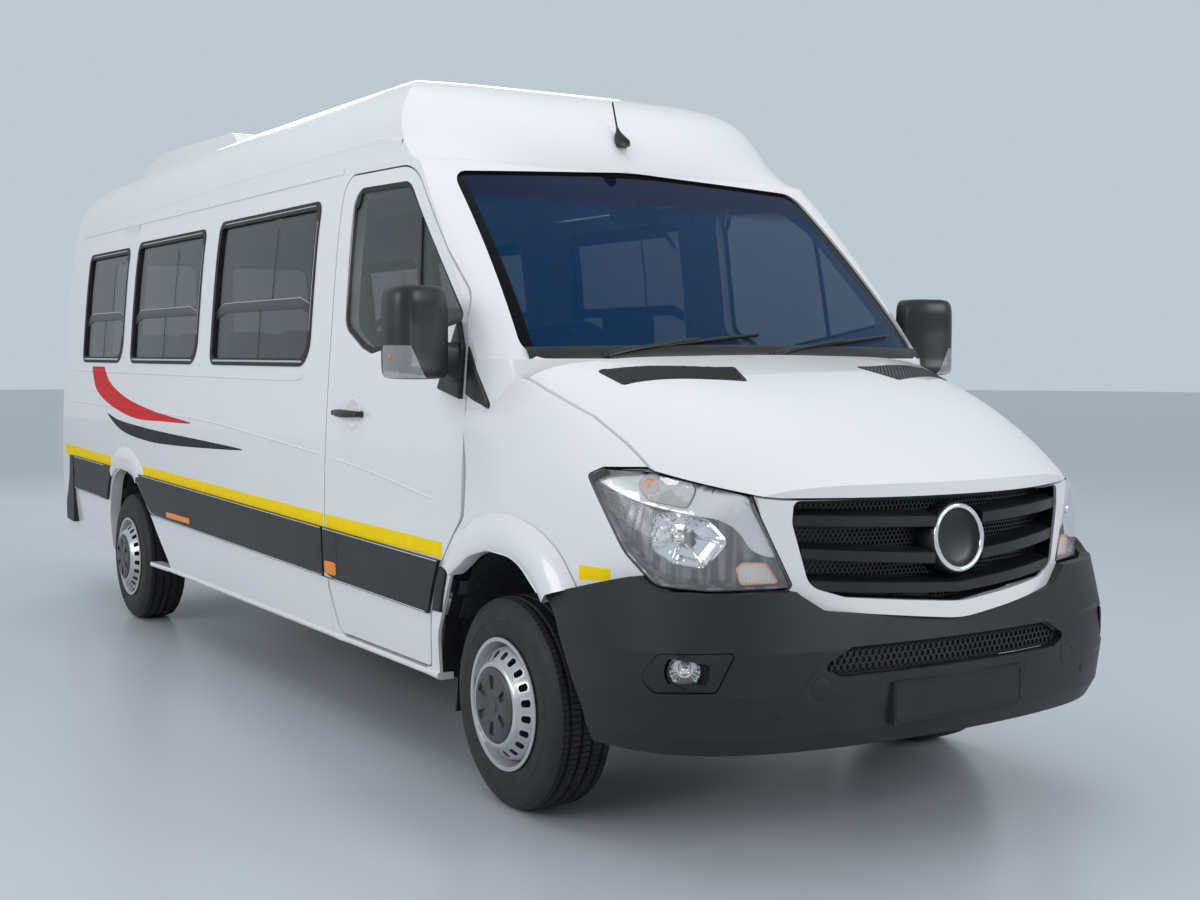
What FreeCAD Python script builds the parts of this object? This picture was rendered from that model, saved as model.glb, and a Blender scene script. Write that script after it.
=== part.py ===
"""Long-wheelbase high-roof minibus, right-hand drive.

Frame: millimetres, +X forward, +Y to the vehicle's left, +Z up. The origin is on the ground, on the centre line,
half way between the ends of the bumpers. Each piece is one node, written to parts/NODE.step.
"""
import FreeCAD, Part
import functools
import math
import os

V = FreeCAD.Vector

# Overall sizes
LENGTH = 6950.0
FRONT_OVERHANG = 1070.0
WHEELBASE = 4325.0
TRACK = 1712.0
TYRE_RADIUS = 347.0
TYRE_WIDTH = 224.0
RIM_RADIUS = 205.0
CROWN_HEIGHT = 2645.0
GUTTER_HEIGHT = 2190.0
SILL_HEIGHT = 360.0
FLOOR_HEIGHT = 700.0
FLOOR_THICKNESS = 50.0

# Stations along X
NOSE_X = LENGTH / 2
TAIL_X = -LENGTH / 2
FRONT_AXLE_X = NOSE_X - FRONT_OVERHANG
REAR_AXLE_X = FRONT_AXLE_X - WHEELBASE
REAR_BUMPER_DEPTH = 160.0
BODY_TAIL_X = TAIL_X + REAR_BUMPER_DEPTH
DOOR_REAR_X = FRONT_AXLE_X - 1432.0
DOOR_FRONT_X = FRONT_AXLE_X - 243.0
SCREEN_BASE_X = FRONT_AXLE_X + 105.0
SCREEN_TOP_X = FRONT_AXLE_X - 722.0
SCREEN_BASE_Z = 1462.0
SCREEN_TOP_Z = 2177.0

# Walls and gaps
WALL = 55.0
WING_WALL = 12.0
BONNET_THICKNESS = 26.0
DOOR_GAP = 7.0
SEAM = 0.3
GLASS = 5.0
GLASS_DEPTH = 10.0
RUBBER_PROUD = 4.0
RUBBER_WIDTH = 34.0
MOULDING_PROUD = 14.0
HIDDEN_DEPTH = 30.0
PILLAR_FOOT = 1300.0

# Ranges used when pieces are set clear of the wheels
WHEELHOUSE_INNER_Y = 500.0
LINER = 8.0
LINER_FOOT = 560.0
KINGPIN_Y = 700.0

NODES = {}


def keep(name, *shapes):
    """File one or more solids under a node name."""
    NODES.setdefault(name, []).extend(shapes)


def mirror(shape):
    return shape.mirror(V(0, 0, 0), V(0, 1, 0))


def box(x0, x1, y0, y1, z0, z1):
    return Part.makeBox(x1 - x0, y1 - y0, z1 - z0, V(x0, y0, z0))


def cylinder(radius, start, end):
    start, end = V(*start), V(*end)
    return Part.makeCylinder(radius, (end - start).Length, start, end - start)


def at(plane, u, v, w=0.0):
    """A point from two coordinates in a plane and one across it."""
    return {"xz": V(u, w, v), "yz": V(w, u, v), "xy": V(u, v, w)}[plane]


def rounded_edges(plane, corners, w=0.0):
    """Edges of a closed outline whose corners are (u, v) or (u, v, radius)."""
    count = len(corners)
    starts, ends, arcs = [], [], []
    for i, corner in enumerate(corners):
        u, v = corner[:2]
        radius = corner[2] if len(corner) > 2 else 0.0
        before, after = corners[i - 1], corners[(i + 1) % count]
        if radius <= 0:
            starts.append((u, v))
            ends.append((u, v))
            arcs.append(None)
            continue
        ax, ay = before[0] - u, before[1] - v
        bx, by = after[0] - u, after[1] - v
        la, lb = math.hypot(ax, ay), math.hypot(bx, by)
        ax, ay, bx, by = ax / la, ay / la, bx / lb, by / lb
        half = math.acos(max(-1.0, min(1.0, ax * bx + ay * by))) / 2
        reach = min(radius / math.tan(half), 0.49 * la, 0.49 * lb)
        radius = reach * math.tan(half)
        mx, my = ax + bx, ay + by
        lm = math.hypot(mx, my)
        far = radius / math.sin(half) - radius
        starts.append((u + ax * reach, v + ay * reach))
        ends.append((u + bx * reach, v + by * reach))
        arcs.append((u + mx / lm * far, v + my / lm * far))
    edges = []
    for i in range(count):
        if arcs[i]:
            edges.append(Part.Arc(at(plane, *starts[i], w), at(plane, *arcs[i], w),
                                  at(plane, *ends[i], w)).toShape())
        a, b = ends[i], starts[(i + 1) % count]
        if math.hypot(a[0] - b[0], a[1] - b[1]) > 1e-6:
            edges.append(Part.LineSegment(at(plane, *a, w), at(plane, *b, w)).toShape())
    return edges


def prism(plane, corners, low, high):
    """A rounded outline carried from low to high across its plane."""
    face = Part.Face(Part.Wire(rounded_edges(plane, corners, low)))
    return face.extrude(at(plane, 0, 0, high - low))


def grown(corners, by):
    """The same outline with its straight sides moved out by a distance, or in by a negative one."""
    area = 0.0
    count = len(corners)
    for i in range(count):
        u0, v0 = corners[i][:2]
        u1, v1 = corners[(i + 1) % count][:2]
        area += u0 * v1 - u1 * v0
    side = 1.0 if area > 0 else -1.0
    result = []
    for i, corner in enumerate(corners):
        u, v = corner[:2]
        before, after = corners[i - 1], corners[(i + 1) % count]
        ax, ay = u - before[0], v - before[1]
        bx, by_ = after[0] - u, after[1] - v
        la, lb = math.hypot(ax, ay), math.hypot(bx, by_)
        nax, nay = side * ay / la, -side * ax / la
        nbx, nby = side * by_ / lb, -side * bx / lb
        scale = by / (1 + nax * nbx + nay * nby)
        radius = corner[2] if len(corner) > 2 else 0.0
        sharp = ax * by_ - ay * bx
        change = by if sharp * side > 0 else -by
        radius = max(radius + change, 2.0) if radius > 0 else 0.0
        result.append((u + (nax + nbx) * scale, v + (nay + nby) * scale, radius))
    return result


def spline(points):
    curve = Part.BSplineCurve()
    curve.interpolate(points)
    return curve.toShape()


def polyline(points):
    return [Part.LineSegment(a, b).toShape() for a, b in zip(points, points[1:])]


# Body shell behind the nose: a tube of one cross-section, cut in front by windscreen and roof cap

BODY_SECTION = [(955, 340), (978, 520), (992, 800), (986, 1100), (966, 1430), (936, 1800), (900, 2090),
                (872, 2230), (838, 2375), (790, 2460), (712, 2530), (580, 2586), (330, 2632), (0, 2645)]
CROWN_DROP = [(BODY_TAIL_X, 72), (BODY_TAIL_X + 180, 52), (REAR_AXLE_X - 225, 24), (DOOR_REAR_X - 1720, 4),
              (DOOR_REAR_X - 770, 1), (DOOR_REAR_X, 0), (SCREEN_TOP_X + 60, 22), (SCREEN_BASE_X + 60, 22)]


def inward(points, distance):
    """A half section moved towards the centre line, square to its own curve."""
    mirrored = points + [(-points[-2][0], points[-2][1])]
    result = []
    for i, (y, z) in enumerate(points):
        before = mirrored[i - 1] if i else (2 * y - mirrored[1][0], 2 * z - mirrored[1][1])
        after = mirrored[i + 1]
        dy, dz = after[0] - before[0], after[1] - before[1]
        size = math.hypot(dy, dz)
        result.append((y - distance * dz / size, z + distance * dy / size))
    result[-1] = (0.0, points[-1][1] - distance)
    return result


def section_wire(x, half, foot, plain=False):
    """A closed section at one station: a spline, or plain chords, over the roof and a straight line under the foot."""
    points = [V(x, -y, z) for y, z in half] + [V(x, y, z) for y, z in reversed(half[:-1])]
    low_right, low_left = V(x, -half[0][0], foot), V(x, half[0][0], foot)
    over = polyline(points) if plain else [spline(points)]
    return Part.Wire(over + polyline([points[-1], low_left, low_right, points[0]]))


@functools.lru_cache(None)
def body_tube(inset, back=0.0, foot=SILL_HEIGHT):
    """The body's outer skin moved in by inset, as one solid from the tail to ahead of the windscreen.

    Skins deeper than HIDDEN_DEPTH are never seen from outside and are made of plain chords.
    """
    wires = []
    for x, drop in CROWN_DROP:
        share = drop / (CROWN_HEIGHT - GUTTER_HEIGHT)
        half = [(y, z - max(0.0, z - GUTTER_HEIGHT) * share) for y, z in BODY_SECTION]
        half = inward(half, inset) if inset else half
        wires.append(section_wire(x + (back if x == BODY_TAIL_X else 0.0), half, foot - (0 if not inset else 60),
                                  inset > HIDDEN_DEPTH))
    return Part.makeLoft(wires, True, True)


def side_skin(outer, inner):
    """The right flank between two insets, below the roof's fall: one solid with the side's own curve."""
    flank = [point for point in BODY_SECTION if point[1] < GUTTER_HEIGHT + 50]
    wires = []
    for x in (BODY_TAIL_X, SCREEN_BASE_X + 60):
        out, deep = ([V(x, -y, z) for y, z in inward(BODY_SECTION, inset)[:len(flank)]] for inset in (outer, inner))
        wires.append(Part.Wire([spline(out)] + polyline([out[-1], deep[-1]]) + [spline(deep[::-1])]
                               + polyline([deep[0], out[0]])))
    return Part.makeLoft(wires, True, True)


SCREEN_STATIONS = [(0, 0, 0, 0), (420, 14, 3, 12), (700, 62, 12, 70), (820, 100, 24, 130), (885, 140, 45, 190),
                   (940, 215, 100, 270), (1010, 360, 220, 420)]


@functools.lru_cache(None)
def screen_cut(inset):
    """Everything behind the windscreen and the roof cap, lofted across from side to side."""
    plain = inset > HIDDEN_DEPTH
    wires = []
    for y, base_back, top_back, cap_back in ([(-y, a, b, c) for y, a, b, c in reversed(SCREEN_STATIONS[1:])]
                                             + SCREEN_STATIONS):
        base = V(SCREEN_BASE_X - base_back, y, SCREEN_BASE_Z)
        top = V(SCREEN_TOP_X - top_back, y, SCREEN_TOP_Z)
        middle = (base + top) * 0.5 + V(13, 0, 15)
        cap = [V(SCREEN_TOP_X - 58 - cap_back, y, SCREEN_TOP_Z + 105),
               V(SCREEN_TOP_X - 250 - cap_back, y, SCREEN_TOP_Z + 283),
               V(SCREEN_TOP_X - 560 - cap_back, y, SCREEN_TOP_Z + 392),
               V(SCREEN_TOP_X - 1100 - cap_back, y, SCREEN_TOP_Z + 480)]
        shift = V(-inset * 0.707, 0, -inset * 0.707)
        base, middle, top = base + shift, middle + shift, top + shift
        cap = [p + shift for p in cap]
        low = V(base.x + 60, y, 1100)
        high = V(cap[-1].x - 200, y, 2900)
        back_high, back_low = V(BODY_TAIL_X - 400, y, 2900), V(BODY_TAIL_X - 400, y, 1100)
        front = polyline([base, middle, top] + cap) if plain else [Part.Arc(base, middle, top).toShape(),
                                                                   spline([top] + cap)]
        wires.append(Part.Wire(front + polyline([cap[-1], high, back_high, back_low, low, base])))
    return Part.makeLoft(wires, True, plain)


def behind_screen(inset):
    """The space behind windscreen and cap, with the space under the door's waist added to it."""
    return screen_cut(inset).fuse(box(BODY_TAIL_X - 300, DOOR_FRONT_X + 12, -1100, 1100, 100, 1101))


def offset_x(base, corners):
    """Outline corners given as distances ahead of a station."""
    return [(base + c[0],) + tuple(c[1:]) for c in corners]


# Openings of the body, seen from the side as (x, z, corner radius)

FRONT_DOOR = offset_x(FRONT_AXLE_X, [(-1432, 2186, 90), (-790, 2172, 320), (-268, 1672, 140), (-236, 1330, 200),
                                     (-243, 930, 60), (-392, 762, 60), (-488, 572, 40), (-530, 372, 30),
                                     (-1342, 372, 50), (-1432, 600, 120)])
FRONT_DOOR_WINDOW = offset_x(FRONT_AXLE_X, [(-1312, 2122, 75), (-815, 2110, 140), (-268, 1592, 25),
                                            (-1030, 1478, 60), (-1120, 1500, 60), (-1296, 1580, 75)])
SLIDING_DOOR = offset_x(DOOR_REAR_X, [(-40, 2172, 70), (-40, 400, 60), (-1318, 400, 60), (-1318, 2172, 70)])
SLIDING_WINDOW = offset_x(DOOR_REAR_X, [(-170, 2095, 55), (-170, 1425, 90), (-1190, 1425, 60), (-1190, 2095, 55)])
WINDOW_BOTTOM = 1425.0
SIDE_WINDOWS = [(DOOR_REAR_X - 1468, DOOR_REAR_X - 208, 2104), (REAR_AXLE_X + 65, REAR_AXLE_X + 1225, 2088),
                (REAR_AXLE_X - 955, REAR_AXLE_X - 95, 2072)]
REAR_DOOR_EDGE_Y = 795.0
REAR_DOOR = [(-REAR_DOOR_EDGE_Y, 690, 40), (-DOOR_GAP / 2, 690), (-DOOR_GAP / 2, 2400), (-560, 2370, 120),
             (-REAR_DOOR_EDGE_Y, 2180, 160)]
REAR_WINDOW = [(-690, 1440, 60), (-110, 1440, 60), (-110, 2060, 60), (-655, 2060, 80)]
FRONT_ARCH = offset_x(FRONT_AXLE_X, [(-500, 150), (-455, 500, 200), (-322, 745, 140), (-120, 848, 250),
                                     (150, 840, 250), (355, 700, 200), (520, 440, 200), (610, 150)])
REAR_ARCH = offset_x(REAR_AXLE_X, [(-400, 150), (-345, 560, 180), (-215, 790, 200), (-20, 846, 200),
                                   (235, 790, 300), (480, 615, 300), (720, 390, 200), (800, 150)])


# Flares over the arches: the foot where each rises from the panel, and the crest of its lip

FRONT_FLARE_FOOT = offset_x(FRONT_AXLE_X, [(-378, 758), (-297, 860), (-231, 906), (-167, 939), (-31, 965), (99, 966),
                                           (212, 942), (289, 907), (353, 865), (430, 780)])
FRONT_FLARE_CREST = offset_x(FRONT_AXLE_X, [(-338, 758), (-262, 802), (-205, 836), (-142, 858), (-40, 880), (76, 882),
                                            (170, 864), (235, 834), (290, 797), (335, 750)])
REAR_FLARE_FOOT = offset_x(REAR_AXLE_X, [(-272, 790), (-222, 880), (-130, 938), (0, 962), (130, 956), (250, 922),
                                         (346, 872), (420, 790)])
REAR_FLARE_CREST = offset_x(REAR_AXLE_X, [(-238, 790), (-185, 838), (-105, 868), (0, 880), (110, 872), (205, 844),
                                          (280, 800), (292, 790)])
FLARE_PROUD = 15.0


def flare(foot, crest, start):
    """The swelling over an arch, from start inside the panel out to its crest; the arch is still to be cut."""
    wires = [Part.makePolygon([V(x, y, z) for x, z in line + line[:1]])
             for line, y in ((foot, -start), (crest, -BODY_SECTION[2][0] - FLARE_PROUD))]
    return Part.makeLoft(wires, True, True)


def window_outline(rear, front, top):
    return [(rear, top, 55), (front, top, 55), (front, WINDOW_BOTTOM, 120), (rear, WINDOW_BOTTOM, 60)]


def both(shape):
    return [shape, mirror(shape)]


def build_body():
    """Side panels, roof, screen frame and doors, all parted from one shell."""
    skin = body_tube(0).common(behind_screen(0))
    shell = skin.cut(body_tube(WALL, WALL).common(behind_screen(WALL)))
    door_opening = prism("xz", FRONT_DOOR, -1200, -600)
    arch_front = prism("xz", FRONT_ARCH, -1200, -WHEELHOUSE_INNER_Y)
    arch_rear = prism("xz", REAR_ARCH, -1200, -WHEELHOUSE_INNER_Y)
    windows = [prism("xz", window_outline(*w), -1200, -600) for w in SIDE_WINDOWS]
    rear_opening = prism("yz", grown(REAR_DOOR, DOOR_GAP), BODY_TAIL_X - 50, BODY_TAIL_X + 400)
    rear_opening = rear_opening.fuse(mirror(rear_opening))

    side_zone = box(BODY_TAIL_X - 50, DOOR_REAR_X + 8, -1200, -REAR_DOOR_EDGE_Y + 130, 200, GUTTER_HEIGHT)
    rear_flare = flare(REAR_FLARE_FOOT, REAR_FLARE_CREST, BODY_SECTION[2][0] - 12)
    under = prism("xz", [(x, z + SEAM) for x, z in moulding_band(-5400, -1440)], -1200, -600)
    blank = shell.common(side_zone).fuse(rear_flare.cut(under))
    blank = blank.cut(Part.Compound([door_opening, arch_rear, rear_opening]))
    keep("side_panel_right", blank.cut(Part.Compound(windows)))
    slide_opening = prism("xz", SLIDING_DOOR, -1200, -600)
    slide_window = prism("xz", SLIDING_WINDOW, -1200, -600)
    keep("side_panel_left", mirror(blank.cut(Part.Compound(windows[1:] + [slide_opening]))))
    slide = shell.common(prism("xz", grown(SLIDING_DOOR, -DOOR_GAP), -1200, -600))
    keep("sliding_door", mirror(slide.cut(slide_window)))

    openings = Part.Compound([door_opening, mirror(door_opening), rear_opening])
    screen = screen_opening(0)
    roof_zone = box(BODY_TAIL_X - 50, SCREEN_TOP_X + 60, -1200, 1200, GUTTER_HEIGHT + SEAM, 2900)
    keep("roof", shell.common(roof_zone).cut(openings).cut(screen))
    frame_zone = box(DOOR_REAR_X + 8 + SEAM, SCREEN_BASE_X + 80, -1200, 1200, PILLAR_FOOT, GUTTER_HEIGHT)
    pillars = shell.common(frame_zone).cut(openings).cut(screen)
    keep("windscreen_frame", *[s for s in pillars.Solids if s.Volume > 5e4])

    door = shell.common(prism("xz", grown(FRONT_DOOR, -DOOR_GAP), -1200, -600))
    door = door.cut(prism("xz", FRONT_DOOR_WINDOW, -1200, -600))
    keep("front_door_right", door)
    keep("front_door_left", mirror(door))

    tail = shell.common(box(BODY_TAIL_X - 50, BODY_TAIL_X + 200, -1200, 1200, 200, 2900))
    rear = tail.common(prism("yz", REAR_DOOR, BODY_TAIL_X - 50, BODY_TAIL_X + WALL + 1))
    rear = rear.cut(prism("yz", REAR_WINDOW, BODY_TAIL_X - 50, BODY_TAIL_X + 400))
    keep("rear_door_right", rear)
    keep("rear_door_left", mirror(rear))


def screen_opening(less):
    """The windscreen's outline carried along X through the screen frame."""
    half = [(-872 + less, SCREEN_BASE_Z + 2 + less, 60), (-792 + less, 2140 - less, 70)]
    corners = [half[0], half[1], (0, SCREEN_TOP_Z + 8 - less, 1500), (-half[1][0], half[1][1], 70),
               (-half[0][0], half[0][1], 60)]
    return prism("yz", corners, FRONT_AXLE_X - 1000, FRONT_AXLE_X + 300)


def build_glass():
    """Windscreen, side glass with its rubber frames, and the glass of the doors."""
    keep("windscreen", screen_opening(SEAM).common(screen_cut(GLASS_DEPTH)).cut(screen_cut(GLASS_DEPTH + GLASS)))
    glass_skin = side_skin(GLASS_DEPTH, GLASS_DEPTH + GLASS)
    rubber_skin = side_skin(-RUBBER_PROUD, GLASS_DEPTH + GLASS + 8)

    def pane(outline):
        return glass_skin.common(prism("xz", grown(outline, -RUBBER_WIDTH - SEAM), -1200, -600))

    def rubber(outline):
        ring = rubber_skin.common(prism("xz", grown(outline, -SEAM), -1200, -600))
        return ring.cut(prism("xz", grown(outline, -RUBBER_WIDTH), -1200, -600))

    outlines = [window_outline(*w) for w in SIDE_WINDOWS]
    for outline in outlines:
        keep("side_glass", pane(outline))
        keep("window_frames", rubber(outline))
    for outline in [SLIDING_WINDOW] + outlines[1:]:
        keep("side_glass", mirror(pane(outline)))
        keep("window_frames", mirror(rubber(outline)))
    door_pane = glass_skin.common(prism("xz", grown(FRONT_DOOR_WINDOW, -SEAM), -1200, -600))
    keep("front_door_glass_right", door_pane)
    keep("front_door_glass_left", mirror(door_pane))
    rear_pane = prism("yz", grown(REAR_WINDOW, -SEAM), BODY_TAIL_X + GLASS_DEPTH, BODY_TAIL_X + GLASS_DEPTH + GLASS)
    keep("rear_door_glass_right", rear_pane)
    keep("rear_door_glass_left", mirror(rear_pane))


# Nose: wings and bonnet are parted from one loft, bumper from another

NOSE_SECTIONS = [
    (-300, [(965, 340), (985, 600), (992, 850), (978, 1120), (955, 1360), (900, 1500), (700, 1555), (400, 1572),
            (0, 1578)]),
    (0, [(958, 340), (980, 600), (985, 850), (970, 1090), (935, 1300), (868, 1420), (700, 1478), (400, 1496),
         (0, 1502)]),
    (250, [(945, 340), (962, 600), (966, 850), (952, 1060), (912, 1215), (830, 1330), (660, 1412), (400, 1442),
           (0, 1453)]),
    (500, [(915, 340), (932, 600), (936, 850), (922, 1010), (886, 1130), (800, 1230), (650, 1325), (400, 1372),
           (0, 1386)]),
    (700, [(870, 340), (885, 600), (888, 850), (872, 965), (830, 1065), (742, 1158), (600, 1240), (380, 1292),
           (0, 1310)]),
    (850, [(815, 340), (825, 600), (828, 820), (812, 915), (770, 1000), (690, 1080), (560, 1155), (350, 1212),
           (0, 1235)]),
    (1000, [(740, 340), (750, 600), (752, 780), (735, 860), (695, 930), (625, 1000), (510, 1070), (320, 1125),
            (0, 1150)]),
    (1120, [(680, 340), (690, 600), (690, 750), (675, 820), (635, 880), (572, 940), (472, 1000), (300, 1050),
            (0, 1072)]),
]
NOSE_TAIL_X = FRONT_AXLE_X + NOSE_SECTIONS[0][0]
NOSE_PLAN = [(560, 985), (700, 905), (790, 822), (868, 705), (938, 560), (1012, 380), (1056, 200), (1070, 0)]


@functools.lru_cache(None)
def nose(inset):
    """The outer skin of wings, bonnet and grille surround as one solid, moved in by inset.

    Any skin but the outer one is hidden, and is made of plain chords.
    """
    plain = inset > 2
    wires = [section_wire(FRONT_AXLE_X + x, inward(half, inset) if inset else half, 300 - inset, plain)
             for x, half in NOSE_SECTIONS]
    body = Part.makeLoft(wires, True, plain)
    half = [(FRONT_AXLE_X + x - inset, y) for x, y in NOSE_PLAN]
    points = [V(x, -y, 0) for x, y in half] + [V(x, y, 0) for x, y in reversed(half[:-1])]
    back = FRONT_AXLE_X - 600
    front = polyline(points) if plain else [spline(points)]
    outline = Part.Wire(front + polyline([points[-1], V(points[-1].x, 1300, 0), V(back, 1300, 0),
                                          V(back, -1300, 0), V(points[0].x, -1300, 0), points[0]]))
    plan = Part.Face(outline).extrude(V(0, 0, 2000))
    return body.common(plan)


BONNET_SEAM = [(-45, 892), (120, 872), (330, 832), (500, 822), (640, 818), (760, 780), (905, 640)]
LAMP_ANGLE = math.radians(50)
LAMP_OUTLINE = [(-262, 1120, 12), (-205, 1145, 20), (-30, 1151, 200), (110, 1124, 150), (262, 1080, 10),
                (380, 808, 15), (150, 803, 100), (0, 815, 100), (-110, 905, 150)]
SURROUND = [(-640, 1085), (-605, 876, 40), (-547, 800, 60), (-470, 748, 60), (0, 698, 500)]
GRILLE_OPENING = [(-543, 1063, 20), (-548, 1000, 60), (-500, 815, 60), (-400, 783, 60), (0, 748, 500)]


def mirrored_outline(half):
    """A closed outline from its right half, whose last corner lies on the centre line."""
    return half + [(-c[0],) + tuple(c[1:]) for c in reversed(half[:-1])]


def corner_prism(outline, angle):
    """An outline (distance along the corner of the nose, z) carried outwards square to it."""
    out = V(math.cos(angle), -math.sin(angle), 0)
    along = V(math.sin(angle), math.cos(angle), 0)
    origin = V(FRONT_AXLE_X, 0, 0)
    flat = prism("xz", outline, 300, 1500)
    place = FreeCAD.Matrix(along.x, out.x, 0, origin.x, along.y, out.y, 0, origin.y, 0, 0, 1, 0, 0, 0, 0, 1)
    return flat.transformGeometry(place)


def lamp_prism(by=0.0):
    """The headlamp's outline, drawn square to its own line of sight and carried through the corner of the nose."""
    return corner_prism(grown(LAMP_OUTLINE, by), LAMP_ANGLE)


def build_nose():
    """Wings, bonnet, grille surround, grille and lamps."""
    skin = nose(0)
    wing_shell = skin.cut(nose(WING_WALL))
    bonnet_shell = skin.cut(nose(BONNET_THICKNESS))
    front_x = NOSE_X + 60
    seam = [(FRONT_AXLE_X + x, -y) for x, y in BONNET_SEAM]
    corners = seam + [(front_x, -600), (front_x, 600)] + [(x, -y) for x, y in reversed(seam)]
    under = offset_x(FRONT_AXLE_X, [(-100, 1180), (560, 1150), (930, 1064), (1200, 1060), (1200, 1700), (-100, 1700)])
    above = prism("xz", under, -1200, 1200)
    top = prism("xy", corners, 900, 1700)
    bonnet_zone = above.common(top)
    small = prism("xy", grown(corners, -DOOR_GAP), 900, 1700)
    small = small.common(prism("xz", grown(under, -DOOR_GAP), -1200, 1200))
    screen = screen_cut(-48)
    bonnet = bonnet_shell.common(small).cut(screen)
    keep("bonnet", max(bonnet.Solids, key=lambda s: s.Volume))

    lamp = lamp_prism()
    arch = prism("xz", FRONT_ARCH, -1200, -WHEELHOUSE_INNER_Y)
    door = prism("xz", FRONT_DOOR, -1200, -600)
    surround_zone = prism("yz", mirrored_outline(SURROUND), FRONT_AXLE_X + 780, front_x)
    wing_zone = box(DOOR_FRONT_X - 200, front_x, -1200, -300, SILL_HEIGHT, SCREEN_BASE_Z - 4)
    cuts = Part.Compound([bonnet_zone, lamp, arch, door, surround_zone])
    behind_glass = screen_cut(-SEAM).common(box(DOOR_REAR_X, front_x, -1200, 0, PILLAR_FOOT - SEAM, 2900))
    swell = flare(FRONT_FLARE_FOOT, FRONT_FLARE_CREST, 925).cut(nose(WING_WALL))
    swell = swell.cut(box(DOOR_REAR_X, NOSE_TAIL_X, -970, 0, 0, 2000))
    flank = [(958, SILL_HEIGHT), (978, 520), (992, 800), (991, 870)]
    outline = [V(DOOR_FRONT_X - 330, -y, z) for y, z in flank]
    outline += [p + V(0, WING_WALL, 0) for p in reversed(outline)]
    strip = Part.Face(Part.makePolygon(outline + outline[:1])).extrude(V(NOSE_TAIL_X - DOOR_FRONT_X + 330, 0, 0))
    wing = wing_shell.common(wing_zone).multiFuse([swell, strip]).cut(cuts).cut(behind_glass)
    wing = wing.cut(bumper_zone())
    wing = max(wing.Solids, key=lambda s: s.Volume)
    keep("wing_right", wing)
    keep("wing_left", mirror(wing))

    shell = skin.cut(nose(WING_WALL + 14))
    surround = shell.common(surround_zone).cut(prism("yz", mirrored_outline(GRILLE_OPENING), 0, front_x))
    surround = surround.cut(Part.Compound([bonnet_zone, lamp_prism(SEAM), mirror(lamp_prism(SEAM))]))
    keep("grille_surround", max(surround.Solids, key=lambda s: s.Volume))

    housing = nose(1).cut(nose(100)).common(lamp_prism(-SEAM))
    housing = housing.common(box(FRONT_AXLE_X + 250, front_x, -1200, -300, 700, 1142))
    housing = housing.cut(prism("yz", grown(mirrored_outline(GRILLE_OPENING), 14), FRONT_AXLE_X + 500, front_x))
    housing = housing.cut(bonnet_zone)
    housing = max(housing.Solids, key=lambda s: s.Volume)
    keep("front_lamps", housing, mirror(housing))

    opening = prism("yz", grown(mirrored_outline(GRILLE_OPENING), -SEAM), FRONT_AXLE_X + 600, front_x)
    back = nose(78).cut(nose(90)).common(opening)
    pieces = [max(back.Solids, key=lambda s: s.Volume)]
    band = nose(6).cut(nose(79)).common(opening)
    for end, centre, height in ((1008, 988, 34), (916, 876, 34), (822, 792, 30)):
        bar = prism("yz", [(-640, end + height / 2), (0, centre + height / 2), (640, end + height / 2),
                           (640, end - height / 2), (0, centre - height / 2), (-640, end - height / 2)],
                    FRONT_AXLE_X + 500, front_x)
        pieces.append(band.common(bar))
    disc = cylinder(98, (NOSE_X - 90, 0, 940), (NOSE_X - 6, 0, 940))
    pieces.append(disc)
    grille = pieces[0].multiFuse(pieces[1:])
    keep("grille", max(grille.Solids, key=lambda s: s.Volume))


BUMPER_PLAN = [(120, 992), (400, 994), (600, 984), (750, 945), (868, 865), (955, 745), (1022, 540), (1058, 280),
               (1070, 0)]
BUMPER_LEVELS = [(345, 46), (400, 16), (520, 0), (640, 4), (720, 22), (880, 60)]


@functools.lru_cache(None)
def bumper_solid(inset):
    """The bumper's skin moved in by inset, as one solid; the hidden side is made of plain chords."""
    wires = []
    for z, back in BUMPER_LEVELS:
        half = [(FRONT_AXLE_X + x - (back + inset) * min(1.0, x / 700), y - (back * 0.55 + inset)
                 * max(0.15, 1 - x / 1800)) for x, y in BUMPER_PLAN]
        half[-1] = (half[-1][0], 0)
        points = [V(x, -y, z) for x, y in half] + [V(x, y, z) for x, y in reversed(half[:-1])]
        front = polyline(points) if inset > 2 else [spline(points)]
        wires.append(Part.Wire(front + polyline([points[-1], points[0]])))
    return Part.makeLoft(wires, True, True)


INTAKE = [(-400, 645, 30), (-507, 592, 15), (-440, 562, 20)]
FOG_LAMP = (866, -864, 590)
FOG_OUT = V(0.82, -0.57, 0)
FOG_RADIUS = 46.0
FOG_ANGLE = math.radians(46)
FOG_RECESS = [(-112, 564, 25), (-60, 640, 50), (165, 648, 12), (112, 533, 25), (-70, 524, 40)]
PLATE_WIDTH = 530.0
PLATE_HEIGHT = 124.0
PLATE_Z = 470.0


def bumper_zone():
    """What the front bumper covers, seen from the side: up to its top edge and ahead of the arch."""
    outline = offset_x(FRONT_AXLE_X, [(100, 200), (100, 690), (300, 748), (700, 848, 40), (780, 806, 40),
                                      (1200, 806), (1200, 200)])
    return prism("xz", outline, -1300, 1300)


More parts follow.
